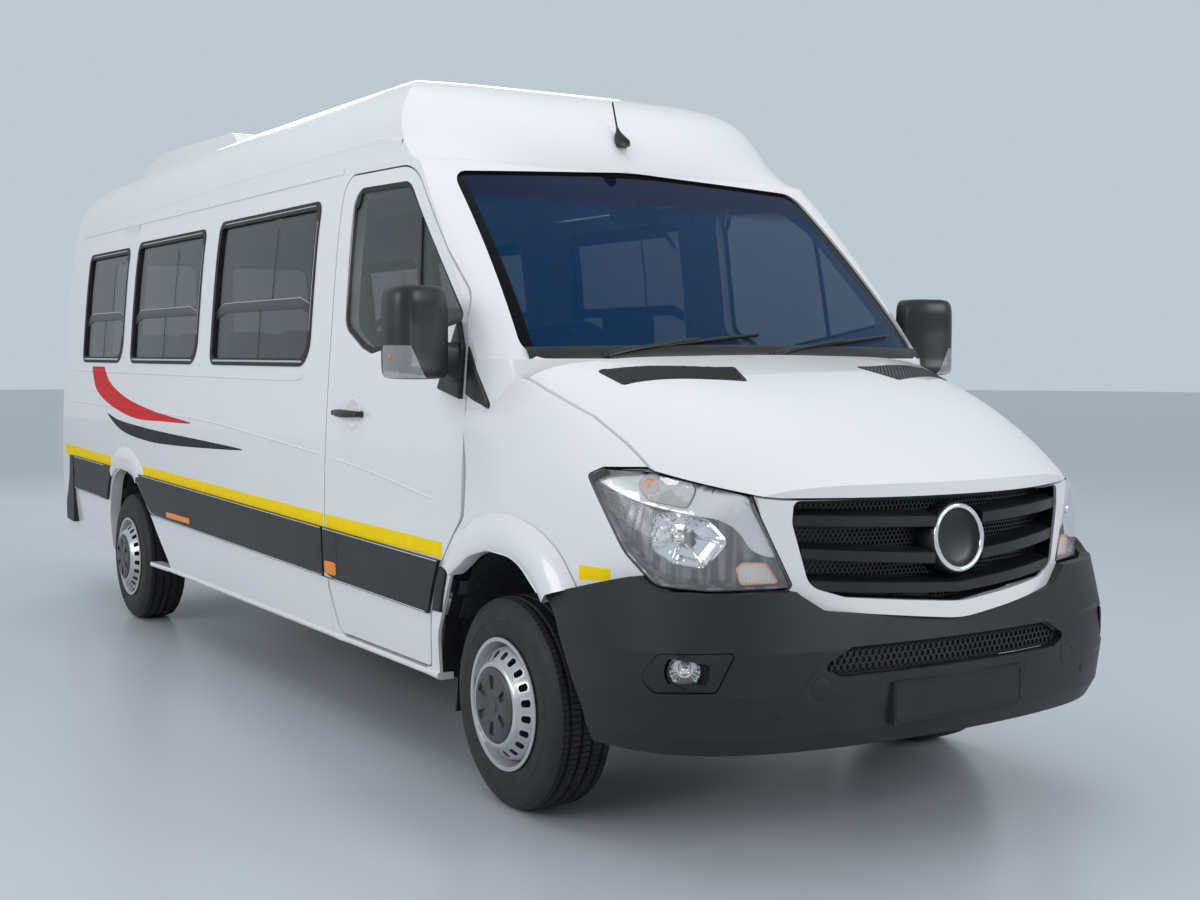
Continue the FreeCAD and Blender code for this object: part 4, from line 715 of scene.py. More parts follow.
# the main reflector is a dish of flat mirror facets round its bulb cap
heart = Vector((0.060, 0.955))
facets = []
for k, (share, depth) in enumerate(((1.06, 0.030), (1.0, 0.026), (0.97, 0.034), (0.84, 0.046), (0.68, 0.055),
                                    (0.50, 0.062), (0.32, 0.067), (0.14, 0.069))):
    facets.append([on_lamp(*(heart + (p - heart) * share), depth + (
        0.0045 * math.sin(i * 1.9 + k * 2.3) if 2 < k < 7 else 0.0)) for i,
                   p in enumerate(rounded(REFLECTOR, 5))])
both_sides(
    ("headlamp_cover_", lamp_plate(inset_line(rim, 0.003), 0.0008, 0.0030, edge=0.0012), lamp_clear, "body",
     "lamp_glass", 40, "front_lamps"),
    ("headlamp_bowl_", join(bowl, lamp_plate(inset_line(rim, 0.005), -0.066, 0.008)), lamp_bowl, "body",
     "black_plastic", 50),
    ("headlamp_seal_", seal, bead_black, "body", "window_rubber", 40),
    ("headlamp_sweep_", lamp_plate(sweep, -0.012, 0.030, edge=0.003, hole=inset_line(signal, -0.0015)),
     satin_chrome,
     "body", "lamp_glass", 40),
    ("turn_signal_lens_", lamp_plate(signal, fluting(0.006, 0.0012, 0.008), 0.004, 0.004), fluted_clear,
     "body",
     "lamp_glass", 30),
    ("turn_signal_cup_", cup, lamp_chrome, "body", "lamp_glass", 20),
    ("turn_signal_bulb_", turned([(0.0, 0.0022), (0.0095, 0.0030), (0.0170, 0.0020), (0.0215, -0.0010),
                                  (0.0232, -0.006), (0.0, -0.006)], bulb_spot, LAMP_OUT, 28), amber, "body",
     "lamp_glass", 40),
    ("headlamp_reflector_", grid(facets, wrap=True, as_built=True), lamp_chrome, "body", "lamp_glass", 12),
    ("headlamp_caps_", join(*[ball(on_lamp(u, z, depth), radius, 18) for u, z, radius, depth in (
        (0.060, 0.955, 0.017, 0.038), (0.010, 0.978, 0.013, 0.034), (0.045, 0.975, 0.012, 0.030))]),
     lamp_chrome,
     "body", "lamp_glass", 40),
    ("side_light_lens_", lamp_plate(side_rim, fluting(0.008, 0.001, 0.007), 0.012, 0.004), side_clear,
     "body",
     "lamp_glass", 30),
    ("side_light_back_", lamp_plate(inset_line(side_rim, 0.002), -0.022, 0.004), side_glow, "body",
     "lamp_glass", 30),
    ("side_light_frame_", grid(rings(side_rim, ((-0.0018, 0.012), (-0.0015, 0.0056), (0.0012, 0.0056),
                                                (0.0012, 0.012)), on_lamp), wrap=True), amber, "body",
     "lamp_glass", 30),
    ("turn_signal_eye_",
     turned([(0.0, 0.0040), (0.0060, 0.0036), (0.0085, 0.0024), (0.0, 0.0015)], bulb_spot,
                                LAMP_OUT, 20), dark_inside, "body", "lamp_glass", 40))

# The grille is a black moulding set deep in the white surround: three broad slats whose tops slope back to a
# honeycomb, and a round housing in the middle that carries a bare chrome ring.
GRILLE_EDGE = rounded([(-0.541, 1.061, 0.02), (-0.546, 1.000, 0.06), (-0.498, 0.817, 0.06),
                       (-0.400, 0.785, 0.06),
                       (0.0, 0.750), (0.400, 0.785, 0.06), (0.498, 0.817, 0.06), (0.546, 1.000, 0.06),
                       (0.541, 1.061, 0.02)])
RING_CENTRE, RING_AXIS = ahead(1.062, 0, 0.938), Vector((1.0, 0, 0.10)).normalized()


def nose_point(y, z, depth=0.0):
    """A point behind the nose's face, which falls away from the centre line."""
    return ahead(1.070 - y * y * (0.34 + 0.26 * y * y) - depth, y, z)


def inside(points, u, v):
    """Whether (u, v) is inside a closed line of points."""
    found = False
    for a, b in zip(points, points[1:] + points[:1]):
        if (a.y > v) != (b.y > v) and u < (b.x - a.x) * (v - a.y) / (b.y - a.y) + a.x:
            found = not found
    return found


def honeycomb(points, size, wall, depth, spot):
    """Hexagonal cells inside an outline, each an opening with walls that go depth metres back."""
    bm = bmesh.new()
    made = {}

    def corner(u, v):
        key = (round(u, 5), round(v, 5))
        if key not in made:
            made[key] = bm.verts.new(spot(u, v))
        return made[key]

    low_u, high_u = min(p.x for p in points), max(p.x for p in points)
    low_v, high_v = min(p.y for p in points), max(p.y for p in points)
    pitch_u, pitch_v = size * math.sqrt(3), size * 1.5
    cells = []
    for row in range(int((high_v - low_v) / pitch_v) + 1):
        for column in range(int((high_u - low_u) / pitch_u) + 1):
            u, v = low_u + (column + 0.5 * (row % 2)) * pitch_u, low_v + row * pitch_v
            ring = [(u + size * math.sin(a), v + size * math.cos(a)) for a in angles(6)]
            if all(inside(points, a, b) for a, b in ring):
                cells.append(bm.faces.new([corner(a, b) for a, b in ring]))
    faced(bm, (1, 0, 0))
    bmesh.ops.inset_individual(bm, faces=cells, thickness=wall, depth=0.0, use_even_offset=True)
    bmesh.ops.inset_individual(bm, faces=cells, thickness=wall * 0.3, depth=-depth, use_even_offset=True)
    return bm


grille_black = finish("grille_black", (0.010, 0.011, 0.013), 0.34, 0.15, 0.08, 0.0001, 0.0012)
backing = cut_sheet(GRILLE_EDGE, lambda y, z: Vector((0, y, z)), 0.05)
for vert in backing.verts:
    vert.co = nose_point(vert.co.y, vert.co.z, 0.085)
wall = grid([[nose_point(p.x, p.y, d) for p in GRILLE_EDGE] for d in (0.012, 0.045, 0.077)], wrap=True,
            as_built=True)
piece("grille_honeycomb",
      join(honeycomb(GRILLE_EDGE, 0.0085, 0.0016, 0.007, lambda y, z: nose_point(y, z, 0.076)),
                               wall, thickened(backing, (-1, 0, 0), 0.003)), grille_black, "body",
      "black_plastic", 30,
      ["grille"])

# Each slat is one broad blade: its top runs back and up to the mesh, its front is a flat band with soft
# edges. The upper two stop short of the ring's housing on both sides.
bars = []
for end, middle, half_height, reach, starts in ((1.008, 0.988, 0.017, 0.541, (-0.096, 0.096)),
                                                (0.916, 0.876, 0.017, 0.519, (-0.096, 0.096)),
                                                (0.824, 0.790, 0.016, 0.494, (-0.494,))):
    profile = [(0.072, 0.030), (0.050, 0.027), (0.022, half_height + 0.002), (0.0135, half_height),
               (0.0105, half_height - 0.003), (0.0100, 0.0), (0.0105, -half_height + 0.003),
               (0.0135, -half_height), (0.024, -half_height - 0.001), (0.060, -half_height + 0.008)]
    for start in starts:
        goal = -reach if start == -0.096 else reach
        stations = [start + (goal - start) * i / 40 for i in range(41)]
        bars.append(tube([[nose_point(y, middle + (end - middle) * abs(y) / 0.62 + rise, depth)
                           for depth, rise in profile] for y in stations]))
piece("grille_slats", join(*bars), grille_black, "body", "black_plastic")
piece("grille_ring_housing",
      turned([(0.0, -0.028), (0.060, -0.028), (0.084, -0.020), (0.092, -0.010), (0.104, -0.010),
                                     (0.108, -0.016), (0.112, -0.070), (0.0, -0.070)], RING_CENTRE,
             RING_AXIS),
      grille_black, "body", "black_plastic")
piece("grille_ring",
      turned([(0.0945 + 0.0085 * math.cos(a), -0.0085 + 0.0075 * math.sin(a)) for a in angles(18)],
                            RING_CENTRE, RING_AXIS, 96, closed=True),
      finish("bright_chrome", (0.86, 0.87, 0.88), 0.06, 0.01, Metallic=1.0), "body", "lamp_glass", 60)

# Set in the front bumper are two fog lamps in dished bezels, the mesh of the intake, a push-in cover over
# the towing eye on each side, two parking sensors and the tray of the blank number plate.
FOG_CENTRE = ahead(0.866, -0.864, 0.590)
FOG_OUT = Vector((0.82, -0.57, 0)).normalized()
INTAKE_EDGE = rounded([(-0.398, 0.643, 0.03), (-0.498, 0.592, 0.015), (-0.438, 0.565, 0.02),
                       (0.438, 0.565, 0.02),
                       (0.498, 0.592, 0.015), (0.398, 0.643, 0.03)])
FOG_BEZEL = [(-0.110, 0.566, 0.025), (-0.060, 0.638, 0.05), (0.160, 0.645, 0.012), (0.110, 0.536, 0.025),
             (-0.070, 0.527, 0.04)]
BACKWARD = (-1, 0, 0)
bumper_skin, grille_skin = surface_of("front_bumper"), surface_of("grille")
piece("intake_mesh", honeycomb(INTAKE_EDGE, 0.0125, 0.0022, 0.006, lambda y, z: laid(
    grille_skin, (3.6, y, z), BACKWARD, 0.0, 0.8)), grille_black, "body", "black_plastic", 30)
# Behind the intake mesh a flat near-black sheet is painted shade for the dark hollow behind the bumper's
# intake.
piece("intake_shade_sheet",
      sheet(INTAKE_EDGE, lambda y, z: Vector((3.6, y, z)), BACKWARD, grille_skin, -0.008, 0.002,
                           reach=0.8), dark_inside, "body", "black_plastic", 30)
bezel_turn = math.radians(46)
bezel_out = Vector((math.cos(bezel_turn), -math.sin(bezel_turn), 0))
bezel_along = Vector((math.sin(bezel_turn), math.cos(bezel_turn), 0))
from_axle = FOG_CENTRE - ahead(0, 0, 0)
fog_u, fog_out = from_axle.dot(bezel_along), FOG_CENTRE.dot(bezel_out) - ahead(0, 0, 0).dot(bezel_out)
rows = []
for share, depth, wide in ((1.0, -0.004, 0), (0.985, -0.0075, 0), (0.94, -0.0080, 0), (0.0, -0.009, 0.068),
                           (0.0, -0.010, 0.061), (0.0, 0.004, 0.056), (0.0, 0.022, 0.050),
                           (0.0, 0.040, 0.047)):
    row = []
    for p in rounded(FOG_BEZEL, 8):
        if wide:
            turn = math.atan2(p.y - 0.590, p.x - fog_u)
            stretch = 1.22 if math.cos(turn) > 0 and wide > 0.05 else 1.0
            p = Vector((fog_u + wide * stretch * math.cos(turn), 0.590 + wide * 0.92 * math.sin(turn)))
        else:
            middle = Vector((fog_u + 0.02, 0.590))
            p = middle + (p - middle) * share
        # the bumper's face falls away on both sides of the bezel's middle
        face = fog_out + 0.004 - 0.55 * (p.x - fog_u) ** 2 - 0.016
        row.append(ahead(0, 0, p.y) + bezel_along * p.x + bezel_out * (face - depth))
    rows.append(row)
both_sides(
    ("fog_bezel_", grid(rows, wrap=True, toward=bezel_out, thick=0.0025), charcoal, "body",
     "charcoal_plastic", 40),
    ("fog_lens_",
     turned([(0.0, 0.0), (0.020, -0.0012), (0.036, -0.0045), (0.0440, -0.0090), (0.0455, -0.0130),
                          (0.0440, -0.0130), (0.036, -0.0075), (0.0, -0.0030)], FOG_CENTRE - FOG_OUT * 0.006,
                         FOG_OUT, 48), lamp_clear, "body", "lamp_glass", 40),
    ("fog_reflector_",
     turned([(0.0445, -0.014), (0.043, -0.020), (0.036, -0.034), (0.024, -0.044), (0.010, -0.049),
                               (0.0, -0.050)], FOG_CENTRE, FOG_OUT, 18), lamp_chrome, "body", "lamp_glass",
     12),
    ("fog_bulb_cap_",
     turned([(0.0, -0.016), (0.008, -0.017), (0.013, -0.022), (0.014, -0.030), (0.013, -0.046)],
                             FOG_CENTRE, FOG_OUT, 24), lamp_chrome, "body", "lamp_glass", 40),
    ("fog_collar_",
     turned([(0.0462, -0.004), (0.0500, -0.006), (0.0510, -0.014), (0.0480, -0.052), (0.0, -0.054),
                            (0.0, -0.052), (0.0455, -0.050), (0.0458, -0.014)], FOG_CENTRE, FOG_OUT, 48),
     bead_black,
     "body", "black_plastic", 40))


def front_spot(y, z):
    return Vector((3.7, y, z))


# Each cover and sensor sits on a slightly larger near-black disc just proud of the bumper, which is painted
# shade for the gap round it.
for cover, gap, away, z, radius, gap_radius, lift, edge, count in (
        ("towing_eye_cover_%d", "towing_eye_gap_%d", 0.505, 0.533, 0.030, 0.0324, 0.0009, 0.0007, 28),
        ("parking_sensor_%d", "parking_sensor_gap_%d", 0.624, 0.468, 0.0125, 0.0146, 0.0008, 0.0006, 20)):
    for number, y in enumerate((-away, away)):
        for name, r, up, depth, soft, material, slot in (
                (cover, radius, lift, 0.004, edge, charcoal, "charcoal_plastic"),
                (gap, gap_radius, 0.0003, 0.002, 0.0, dark_inside, "black_plastic")):
            line = [(y + r * math.cos(a), z + r * math.sin(a)) for a in angles(count)]
            piece(name % number, plate(line, front_spot, BACKWARD, bumper_skin, up, depth, 0.02, soft),
                  material,
                  "body", slot)

# The plate carrier is a shallow tray on the bumper: a raised rim that falls back inwards to a flat panel,
# which is left blank.
TRAY_STEPS = ((-0.002, 0.0), (0.0, 0.0035), (0.0045, 0.0038), (0.0060, 0.0012), (0.0090, 0.0012))
tray_rim = rounded([(-0.258, 0.414, 0.012), (-0.258, 0.526, 0.012), (0.258, 0.526, 0.012),
                    (0.258, 0.414, 0.012)], 4)
piece("plate_carrier",
      grid(rings(tray_rim, TRAY_STEPS, lambda y, z, rise: Vector((3.4752 + rise, y, z))), wrap=True,
                            last=True), charcoal, "body", "charcoal_plastic", 30)


def tapered(points, widths, spot, toward, skin, lift, depth=0.0015, count=24):
    """A strip that follows a line on a skin, with a width at each of its points."""
    line, spread = curve_through(points, count), curve_through([(w, 0) for w in widths], count)
    rows = [[], []]
    for i, here in enumerate(line):
        run = (line[min(i + 1, count - 1)] - line[max(i - 1, 0)]).to_2d().normalized()
        aside = Vector((-run.y, run.x)) * spread[i].x / 2
        for row, by in zip(rows, (aside, -aside)):
            row.append(laid(skin, spot(*(here.to_2d() + by)), toward, lift, 0.8))
    return thickened(grid(rows), toward, depth)


# The shadows of the creases in the bumper's corners, above and below the fog lamps, and along the edge of
# its middle panel are painted shade: thin black strips laid just proud of the bumper. Each one runs out at
# its ends.
both_sides(("bumper_crease_shadows_", join(*[tapered(line, widths, front_spot, BACKWARD, bumper_skin, 0.0006)
                                      for line, widths in (
    ([(-0.752, 0.655), (-0.66, 0.653), (-0.575, 0.650)], [0.016, 0.010, 0.001]),
    ([(-0.80, 0.523), (-0.74, 0.512), (-0.675, 0.505)], [0.016, 0.010, 0.001]),
    ([(-0.590, 0.497), (-0.545, 0.552), (-0.512, 0.598)], [0.001, 0.008, 0.013]),
    ([(-0.305, 0.560), (-0.292, 0.480), (-0.285, 0.402)], [0.006, 0.005, 0.004]))]), bead_black, "body",
            "charcoal_plastic", 30))

# The door mirrors are tall black heads on short arms: a bulged shell with a pressed frame line, a clear
# indicator wrapped round its outer lower corner, two flat glasses facing back, and a gasketed foot on the
# door. A fixed black triangle on the pillar carries the foot's line on towards the bonnet.
MIRROR_PLAN = [(-0.318, -1.024), (-0.262, -1.027), (-0.222, -1.075), (-0.200, -1.135), (-0.192, -1.190),
               (-0.212, -1.232), (-0.262, -1.246), (-0.318, -1.244)]
MIRROR_FOOT = [(-0.432, 1.360, 0.01), (-0.2630, 1.328, 0.004), (-0.2615, 1.498, 0.02),
               (-0.306, 1.594, 0.006)]
PILLAR_TRIANGLE = [(-0.2375, 1.345, 0.004), (-0.100, 1.295, 0.008), (-0.192, 1.452, 0.01),
                   (-0.2375, 1.508, 0.004)]
mirror_black = finish("mirror_black", (0.018, 0.019, 0.021), 0.36, 0.12, 0.1, 0.00012, 0.0013)
mirror_glass = finish("mirror_glass", (0.80, 0.83, 0.86), 0.03, 0.01, Metallic=1.0)


def side_spot(x, z):
    return Vector((x, -1.30, z))


def shifted(outline):
    """An outline whose X is counted from the front axle, in the vehicle's own frame."""
    return [(FRONT_AXLE_X + corner[0],) + tuple(corner[1:]) for corner in outline]


def squared(angle, power):
    """The cosine and sine of an angle, drawn out towards a square."""
    return [math.copysign(abs(c) ** power, c) for c in (math.cos(angle), math.sin(angle))]


door_side = surface_of("front_door_right", "front_door_glass_right", "windscreen_frame", "wing_right")
plan = curve_through(shifted(MIRROR_PLAN), 40)
heart = ahead(-0.262, -1.134, 0)
rows = []
for share, z in ((0.60, 1.3960), (0.80, 1.3985), (0.92, 1.405), (0.975, 1.416), (0.995, 1.435), (1.0, 1.470),
                 (1.0, 1.560), (0.995, 1.630), (0.98, 1.660), (0.94, 1.680), (0.87, 1.692), (0.76, 1.699),
                 (0.55, 1.702)):
    row = []
    for p in plan:
        spot = heart + (p - heart) * share
        spot.x = max(spot.x, FRONT_AXLE_X - 0.319) if p.x > FRONT_AXLE_X - 0.315 else p.x
        row.append(Vector((spot.x, spot.y, z)))
    rows.append(row)
shell = tube(rows)
seam = [f for f in shell.faces if 1.44 < f.calc_center_median().z < 1.64 and f.normal.x > 0.55
        and f.calc_center_median().y > -1.20]
bmesh.ops.inset_region(shell, faces=seam, thickness=0.006, depth=-0.003)
glasses = [sheet(rounded([(-1.228, low, 0.02), (-1.228, high, 0.03), (-1.042, high, 0.03),
                          (-1.042, low, 0.02)]),
                 lambda y, z: ahead(-0.3206, y, z), (1, 0, 0), None, 0, 0.003, 0.2, 0.0008)
           for low, high in ((1.508, 1.682), (1.412, 1.498))]
arm = tube([[ahead(x + half_x * c, y, z + half_z * s) for c, s in (squared(a, 0.6) for a in angles(28))]
            for y, x, z, half_x, half_z in (
    (-0.985, -0.300, 1.448, 0.036, 0.072), (-1.000, -0.296, 1.455, 0.030, 0.062),
    (-1.015, -0.292, 1.462, 0.027, 0.056), (-1.035, -0.290, 1.468, 0.026, 0.054),
    (-1.060, -0.288, 1.470, 0.026, 0.054))])
# the indicator follows the head's own plan, a little proud of it, and is cut on the slant at its front
rows = []
for i, z in enumerate((1.400, 1.412, 1.430, 1.450, 1.470, 1.490, 1.506)):
    line = []
    for p in plan[17 + i:38]:
        grown = heart + (p - heart) * ({0: 0.975, 6: 0.985}.get(i, 1.0) + 0.018)
        line.append(Vector((max(grown.x, FRONT_AXLE_X - 0.3195), grown.y, z)))
    rows.append([line[round(k * (len(line) - 1) / 14)] for k in range(15)])
both_sides(
    ("mirror_head_", shell, mirror_black, "front_door_", "black_plastic", 40, "mirror_"),
    ("mirror_glass_", join(*glasses), mirror_glass, "front_door_", "lamp_glass", 30),
    ("mirror_arm_", arm, mirror_black, "front_door_", "black_plastic", 45),
    ("mirror_foot_",
     plate(shifted(MIRROR_FOOT), side_spot, (0, 1, 0), door_side, 0.019, 0.0185, 0.03, 0.006, 3),
     mirror_black, "front_door_", "black_plastic", 40),
    ("mirror_indicator_", grid(rows, toward=(0, -1, 0), thick=0.004), fluted_clear, "front_door_",
     "lamp_glass", 40),
    ("mirror_indicator_bulb_", ball(ahead(-0.245, -1.2445, 1.470), 0.007, 16), amber, "front_door_",
     "lamp_glass", 40),
    ("pillar_triangle_",
     plate(shifted(PILLAR_TRIANGLE), side_spot, (0, 1, 0), door_side, 0.007, 0.0085, 0.02, 0.004),
     mirror_black, "body", "black_plastic", 40))

# Fittings of the flanks: a yellow stripe of reflecting film above each moulding and a patch of it on each
# wing, orange side markers let into the mouldings, and a dark strip between the door's moulding and the
# wheel arch.
film_yellow = finish("film_yellow", (0.97, 0.70, 0.005), 0.45, 0.03, 0.05, Specular_IOR_Level=0.06)
marker_orange = finish("marker_orange", (0.90, 0.25, 0.01), 0.20, 0.08, 0.01, Specular_IOR_Level=0.4)
FILM, FILM_DEPTH = 0.0006, 0.0005
STRIPE = [(-0.385, 0.781, 0.834), (-0.80, 0.782, 0.838), (-2.20, 0.797, 0.852), (-3.00, 0.809, 0.864),
          (-3.70, 0.813, 0.873), (-3.97, 0.815, 0.878)]
STRIPE_GAP = [(-1.4215, 0.783, 0.842), (-1.4445, 0.7835, 0.8425)]


def beside(hand):
    """The way onto a flank: from (x, z) to a point beside it, and the direction to go from there."""
    return (lambda x, z: Vector((x, hand * 1.3, z))), Vector((0, -hand, 0))


def band(rows, skin, hand, step=0.06):
    """A strip of film between two heights along the flank, from (x, low, high) at a few stations."""
    spot, toward = beside(hand)
    count = int(abs(rows[-1][0] - rows[0][0]) / step) + 2
    lines = [curve_through(shifted([(row[0], row[i]) for row in rows]), count) for i in (1, 2)]
    return thickened(grid([[laid(skin, spot(p.x, p.y), toward, FILM) for p in line] for line in lines]),
                     toward,
                     FILM_DEPTH)


def box_line(u0, u1, v0, v1, radius, steps=6):
    """A box's outline with rounded corners."""
    return rounded([(u0, v0, radius), (u0, v1, radius), (u1, v1, radius), (u1, v0, radius)], steps)


flanks = {-1: surface_of("side_panel_right", "wing_right"),
          1: surface_of("side_panel_left", "sliding_door", "wing_left")}
doors, door_mouldings, wings = ({hand: surface_of(name + side) for side, hand in SIDES}
                                for name in ("front_door_", "door_moulding_", "wing_"))
slide, mouldings = surface_of("sliding_door"), surface_of("side_mouldings")
for side, hand in SIDES:
    spot, toward = beside(hand)
    panel = [band(STRIPE_GAP[1:] + STRIPE[2:], flanks[hand], hand)] if hand < 0 else [
        band([STRIPE_GAP[1], (-1.462, 0.7838, 0.8428)], flanks[hand], hand, 0.01),
        band([(-1.482, 0.784, 0.843), STRIPE[2], (-2.740, 0.8055, 0.8602)], slide, hand),
        band([(-2.761, 0.806, 0.861)] + STRIPE[3:], flanks[hand], hand)]
    tail = band([(-4.59, 0.827, 0.890), (-5.10, 0.836, 0.903), (-5.64, 0.846, 0.918)], flanks[hand], hand)
    patch = band([(0.435, 0.806, 0.850), (0.510, 0.812, 0.851), (0.572, 0.818, 0.852)], wings[hand], hand,
                 0.02)
    for name, body, bands in (
            ("stripe_door_", "front_door_" + side, [band(STRIPE[:2] + STRIPE_GAP[:1], doors[hand], hand)]),
            ("stripe_panel_", "body", panel), ("stripe_tail_", "body", [tail]),
            ("wing_patch_", "body", [patch])):
        piece(name + side, join(*bands), film_yellow, body, "moulding_plastic", 30)
    for number, (x0, x1, z0, z1, skin, body) in enumerate((
            (-1.408, -1.294, 0.607, 0.659, door_mouldings[hand], "front_door_" + side),
            (-3.510, -3.130, 0.640, 0.668, mouldings, "body"),
            (-5.520, -5.450, 0.692, 0.718, mouldings, "body"))):
        line = box_line(FRONT_AXLE_X + x0, FRONT_AXLE_X + x1, z0, z1, (z1 - z0) * 0.32, 4)
        piece("side_marker_%d_%s" % (number, side),
              sheet(line, spot, toward, skin, 0.004, 0.006, 0.05, 0.002),
              marker_orange, body, "tail_lamp_red")
both_sides(("arch_strip_",
            plate(shifted([(-0.452, 0.640, 0.006), (-0.396, 0.752, 0.006), (-0.350, 0.738, 0.006),
                                          (-0.392, 0.640, 0.006), (-0.405, 0.590, 0.006),
                           (-0.470, 0.588, 0.006)]),
                                 side_spot, (0, 1, 0), right_side, 0.010, 0.0095, 0.05, 0.003),
            moulding_plastic,
            "body", "moulding_plastic", 35))

# A fuel flap on the left, on a slightly larger black outline that is painted shade for its gap, and door
# handles: a body-coloured dish behind a black lever that stands off on two feet.
for name, grow, radius, lift, material in (("fuel_flap_gap_shade", 0.0, 0.035, 0.0004, bead_black),
                                           ("fuel_flap", -0.004, 0.032, 0.0024, white_paint)):
    line = box_line(FRONT_AXLE_X - 3.010 - grow, FRONT_AXLE_X - 2.860 + grow, 0.868 - grow, 1.008 + grow,
                    radius)
    piece(name, sheet(line, *beside(1), flanks[1], lift, 0.003, 0.04, 0.0008), material, "body",
          "body_paint", 40)
for number, side, hand, x, z, skin, body in (
        (0, "right", -1, -1.180, 1.250, doors[-1], "front_door_right"),
        (0, "left", 1, -1.180, 1.250, doors[1], "front_door_left"),
        (1, "left", 1, -2.640, 1.150, slide, "body")):
    spot, toward = beside(hand)
    x += FRONT_AXLE_X
    rows = []
    for t in (i / 16 for i in range(17)):
        here = x - 0.135 + 0.245 * t
        bow = 0.034 * math.sin(math.pi * min(1, max(0, (t - 0.02) / 0.96))) ** 0.35 + 0.004
        half_z = 0.0155 * math.sin(math.pi * (0.06 + 0.88 * t)) ** 0.3
        face = abs(laid(skin, spot(here, z), toward).y)
        rows.append([Vector((here, hand * (face + bow + 0.008 * math.cos(a)), z + half_z * math.sin(a)))
                     for a in angles(14)])
    feet = [turned([(0.0, 0.0), (0.013, 0.0), (0.011, 0.012), (0.010, 0.034), (0.0, 0.034)],
                   (x + along, hand * (face - 0.001), z), (0, hand, 0), 20) for along in (-0.118, 0.095)]
    dish = grid([[laid(skin, spot(x + 0.010 + r * 1.02 * math.cos(a), z + r * math.sin(a)), toward, lift)
                  for a in angles(40)] for r, lift in (
        (0.0615, 0.0004), (0.0590, 0.0022), (0.0550, 0.0026), (0.0500, 0.0008), (0.030, 0.0006))], wrap=True,
                toward=-toward, thick=0.0008)
    piece("door_handle_%d_%s" % (number, side), join(tube(rows), *feet), mirror_black, body, "black_plastic",
          50)
    piece("handle_dish_%d_%s" % (number, side), dish, white_paint, body, "body_paint", 50)

# A black rail parts each side window into a low fixed pane and upper sliders, which meet at a thin upright.
# A black inner frame shows behind them. Thin bright metal strips lie along the rubber, and the one along the
# top edge of the rail is a painted highlight. On the left the first window is the sliding door's.
inner_frame = finish("inner_frame_metal", (0.035, 0.037, 0.040), 0.34, 0.05, 0.2)
bright_edge = finish("bright_edge", (0.72, 0.73, 0.75), 0.22, 0.03, 0.2, Metallic=1.0)
WINDOWS = [(-2.900, -1.640, 2.104), (-4.260, -3.100, 2.088), (-5.280, -4.420, 2.072)]
SLIDING_PANE = (-2.622, -1.602, 2.095)
RAIL_Z, PANE_FOOT, PANE_RIM, BEHIND = 1.689, 1.425, 0.050, -0.019


def frame_bar(x0, z0, x1, z1, wide, skin, lift, depth):
    """A bevelled bar between two points of the right flank, laid on a skin."""
    run = Vector((x1 - x0, z1 - z0)).normalized() * wide / 2
    corners = [(x0 - run.y, z0 + run.x), (x1 - run.y, z1 + run.x), (x1 + run.y, z1 - run.x),
               (x0 + run.y, z0 - run.x)]
    return plate(shifted(corners), side_spot, (0, 1, 0), skin, lift, depth, 0.12, min(wide, depth) * 0.25)


glass, rubber = surface_of("side_glass"), surface_of("window_frames")
for side, hand in SIDES:
    frames, edges = [], []
    for x0, x1, top in (WINDOWS[:1] if hand < 0 else [SLIDING_PANE]) + WINDOWS[1:]:
        x0, x1, low, high = x0 + PANE_RIM, x1 - PANE_RIM, PANE_FOOT + 0.055, top - PANE_RIM
        middle, light = (x0 + x1) / 2, RAIL_Z + 0.0238
        frames += [frame_bar(*bar) for bar in (
            (x0 - 0.030, RAIL_Z, x1 + 0.030, RAIL_Z, 0.044, glass, 0.0040, 0.012),
            (middle - 0.010, low - 0.020, middle - 0.010, 1.668, 0.009, glass, 0.0012, 0.003),
            (middle + 0.130, 1.710, middle + 0.130, high + 0.018, 0.009, glass, 0.0012, 0.003),
            (x0 - 0.010, low, x0 - 0.010, high, 0.040, glass, BEHIND, 0.012),
            (x0, high, x1, high, 0.022, glass, BEHIND, 0.012))]
        # The first of these strips, along the top edge of the rail, is a painted highlight.
        edges += [frame_bar(*bar) for bar in (
            (x0 - 0.028, light, x1 + 0.028, light, 0.0042, glass, 0.0042, 0.006),
            (x0 - 0.010, low - 0.034, x1 - 0.030, low - 0.034, 0.009, rubber, 0.0012, 0.002),
            (x1 + 0.031, low + 0.09, x1 + 0.031, high - 0.03, 0.0045, rubber, 0.0010, 0.0015),
            (x0 + 0.03, high + 0.033, x1 - 0.01, high + 0.033, 0.0045, rubber, 0.0010, 0.0015))]
    for name, bars, material in (("window_inner_frame_", frames, inner_frame),
                                 ("window_bright_edge_", edges, bright_edge)):
        bm = join(*bars)
        piece(name + side, sides_flipped(bm) if hand > 0 else bm, material, "body", "chassis_steel", 30)

# Each front door's glass runs in a black rubber channel and is parted ahead of the mirror by an upright that
# holds the small fixed quarter light.
door_glass = surface_of("front_door_glass_right")
DOOR_PANE = [(-1.312, 2.122, 0.075), (-0.815, 2.110, 0.140), (-0.268, 1.592, 0.025), (-1.030, 1.478, 0.060),
             (-1.120, 1.500, 0.060), (-1.296, 1.580, 0.075)]
seal_rows = rings(rounded(shifted(DOOR_PANE), 8),
                  ((0.002, -0.001), (0.003, 0.006), (0.012, 0.0065), (0.020, 0.0035),
                                                   (0.020, 0.0004)),
                  lambda x, z, lift: laid(door_glass, side_spot(x, z), (0, 1, 0), lift))
both_sides(("door_window_seal_", grid(seal_rows, wrap=True, toward=(0, -1, 0)), window_rubber, "front_door_",
            "window_rubber", 35),
           ("door_window_upright_",
            frame_bar(-0.640, 1.548, -0.700, 2.015, 0.022, door_glass, 0.0062, 0.0055),
            mirror_black, "front_door_", "window_rubber", 35))

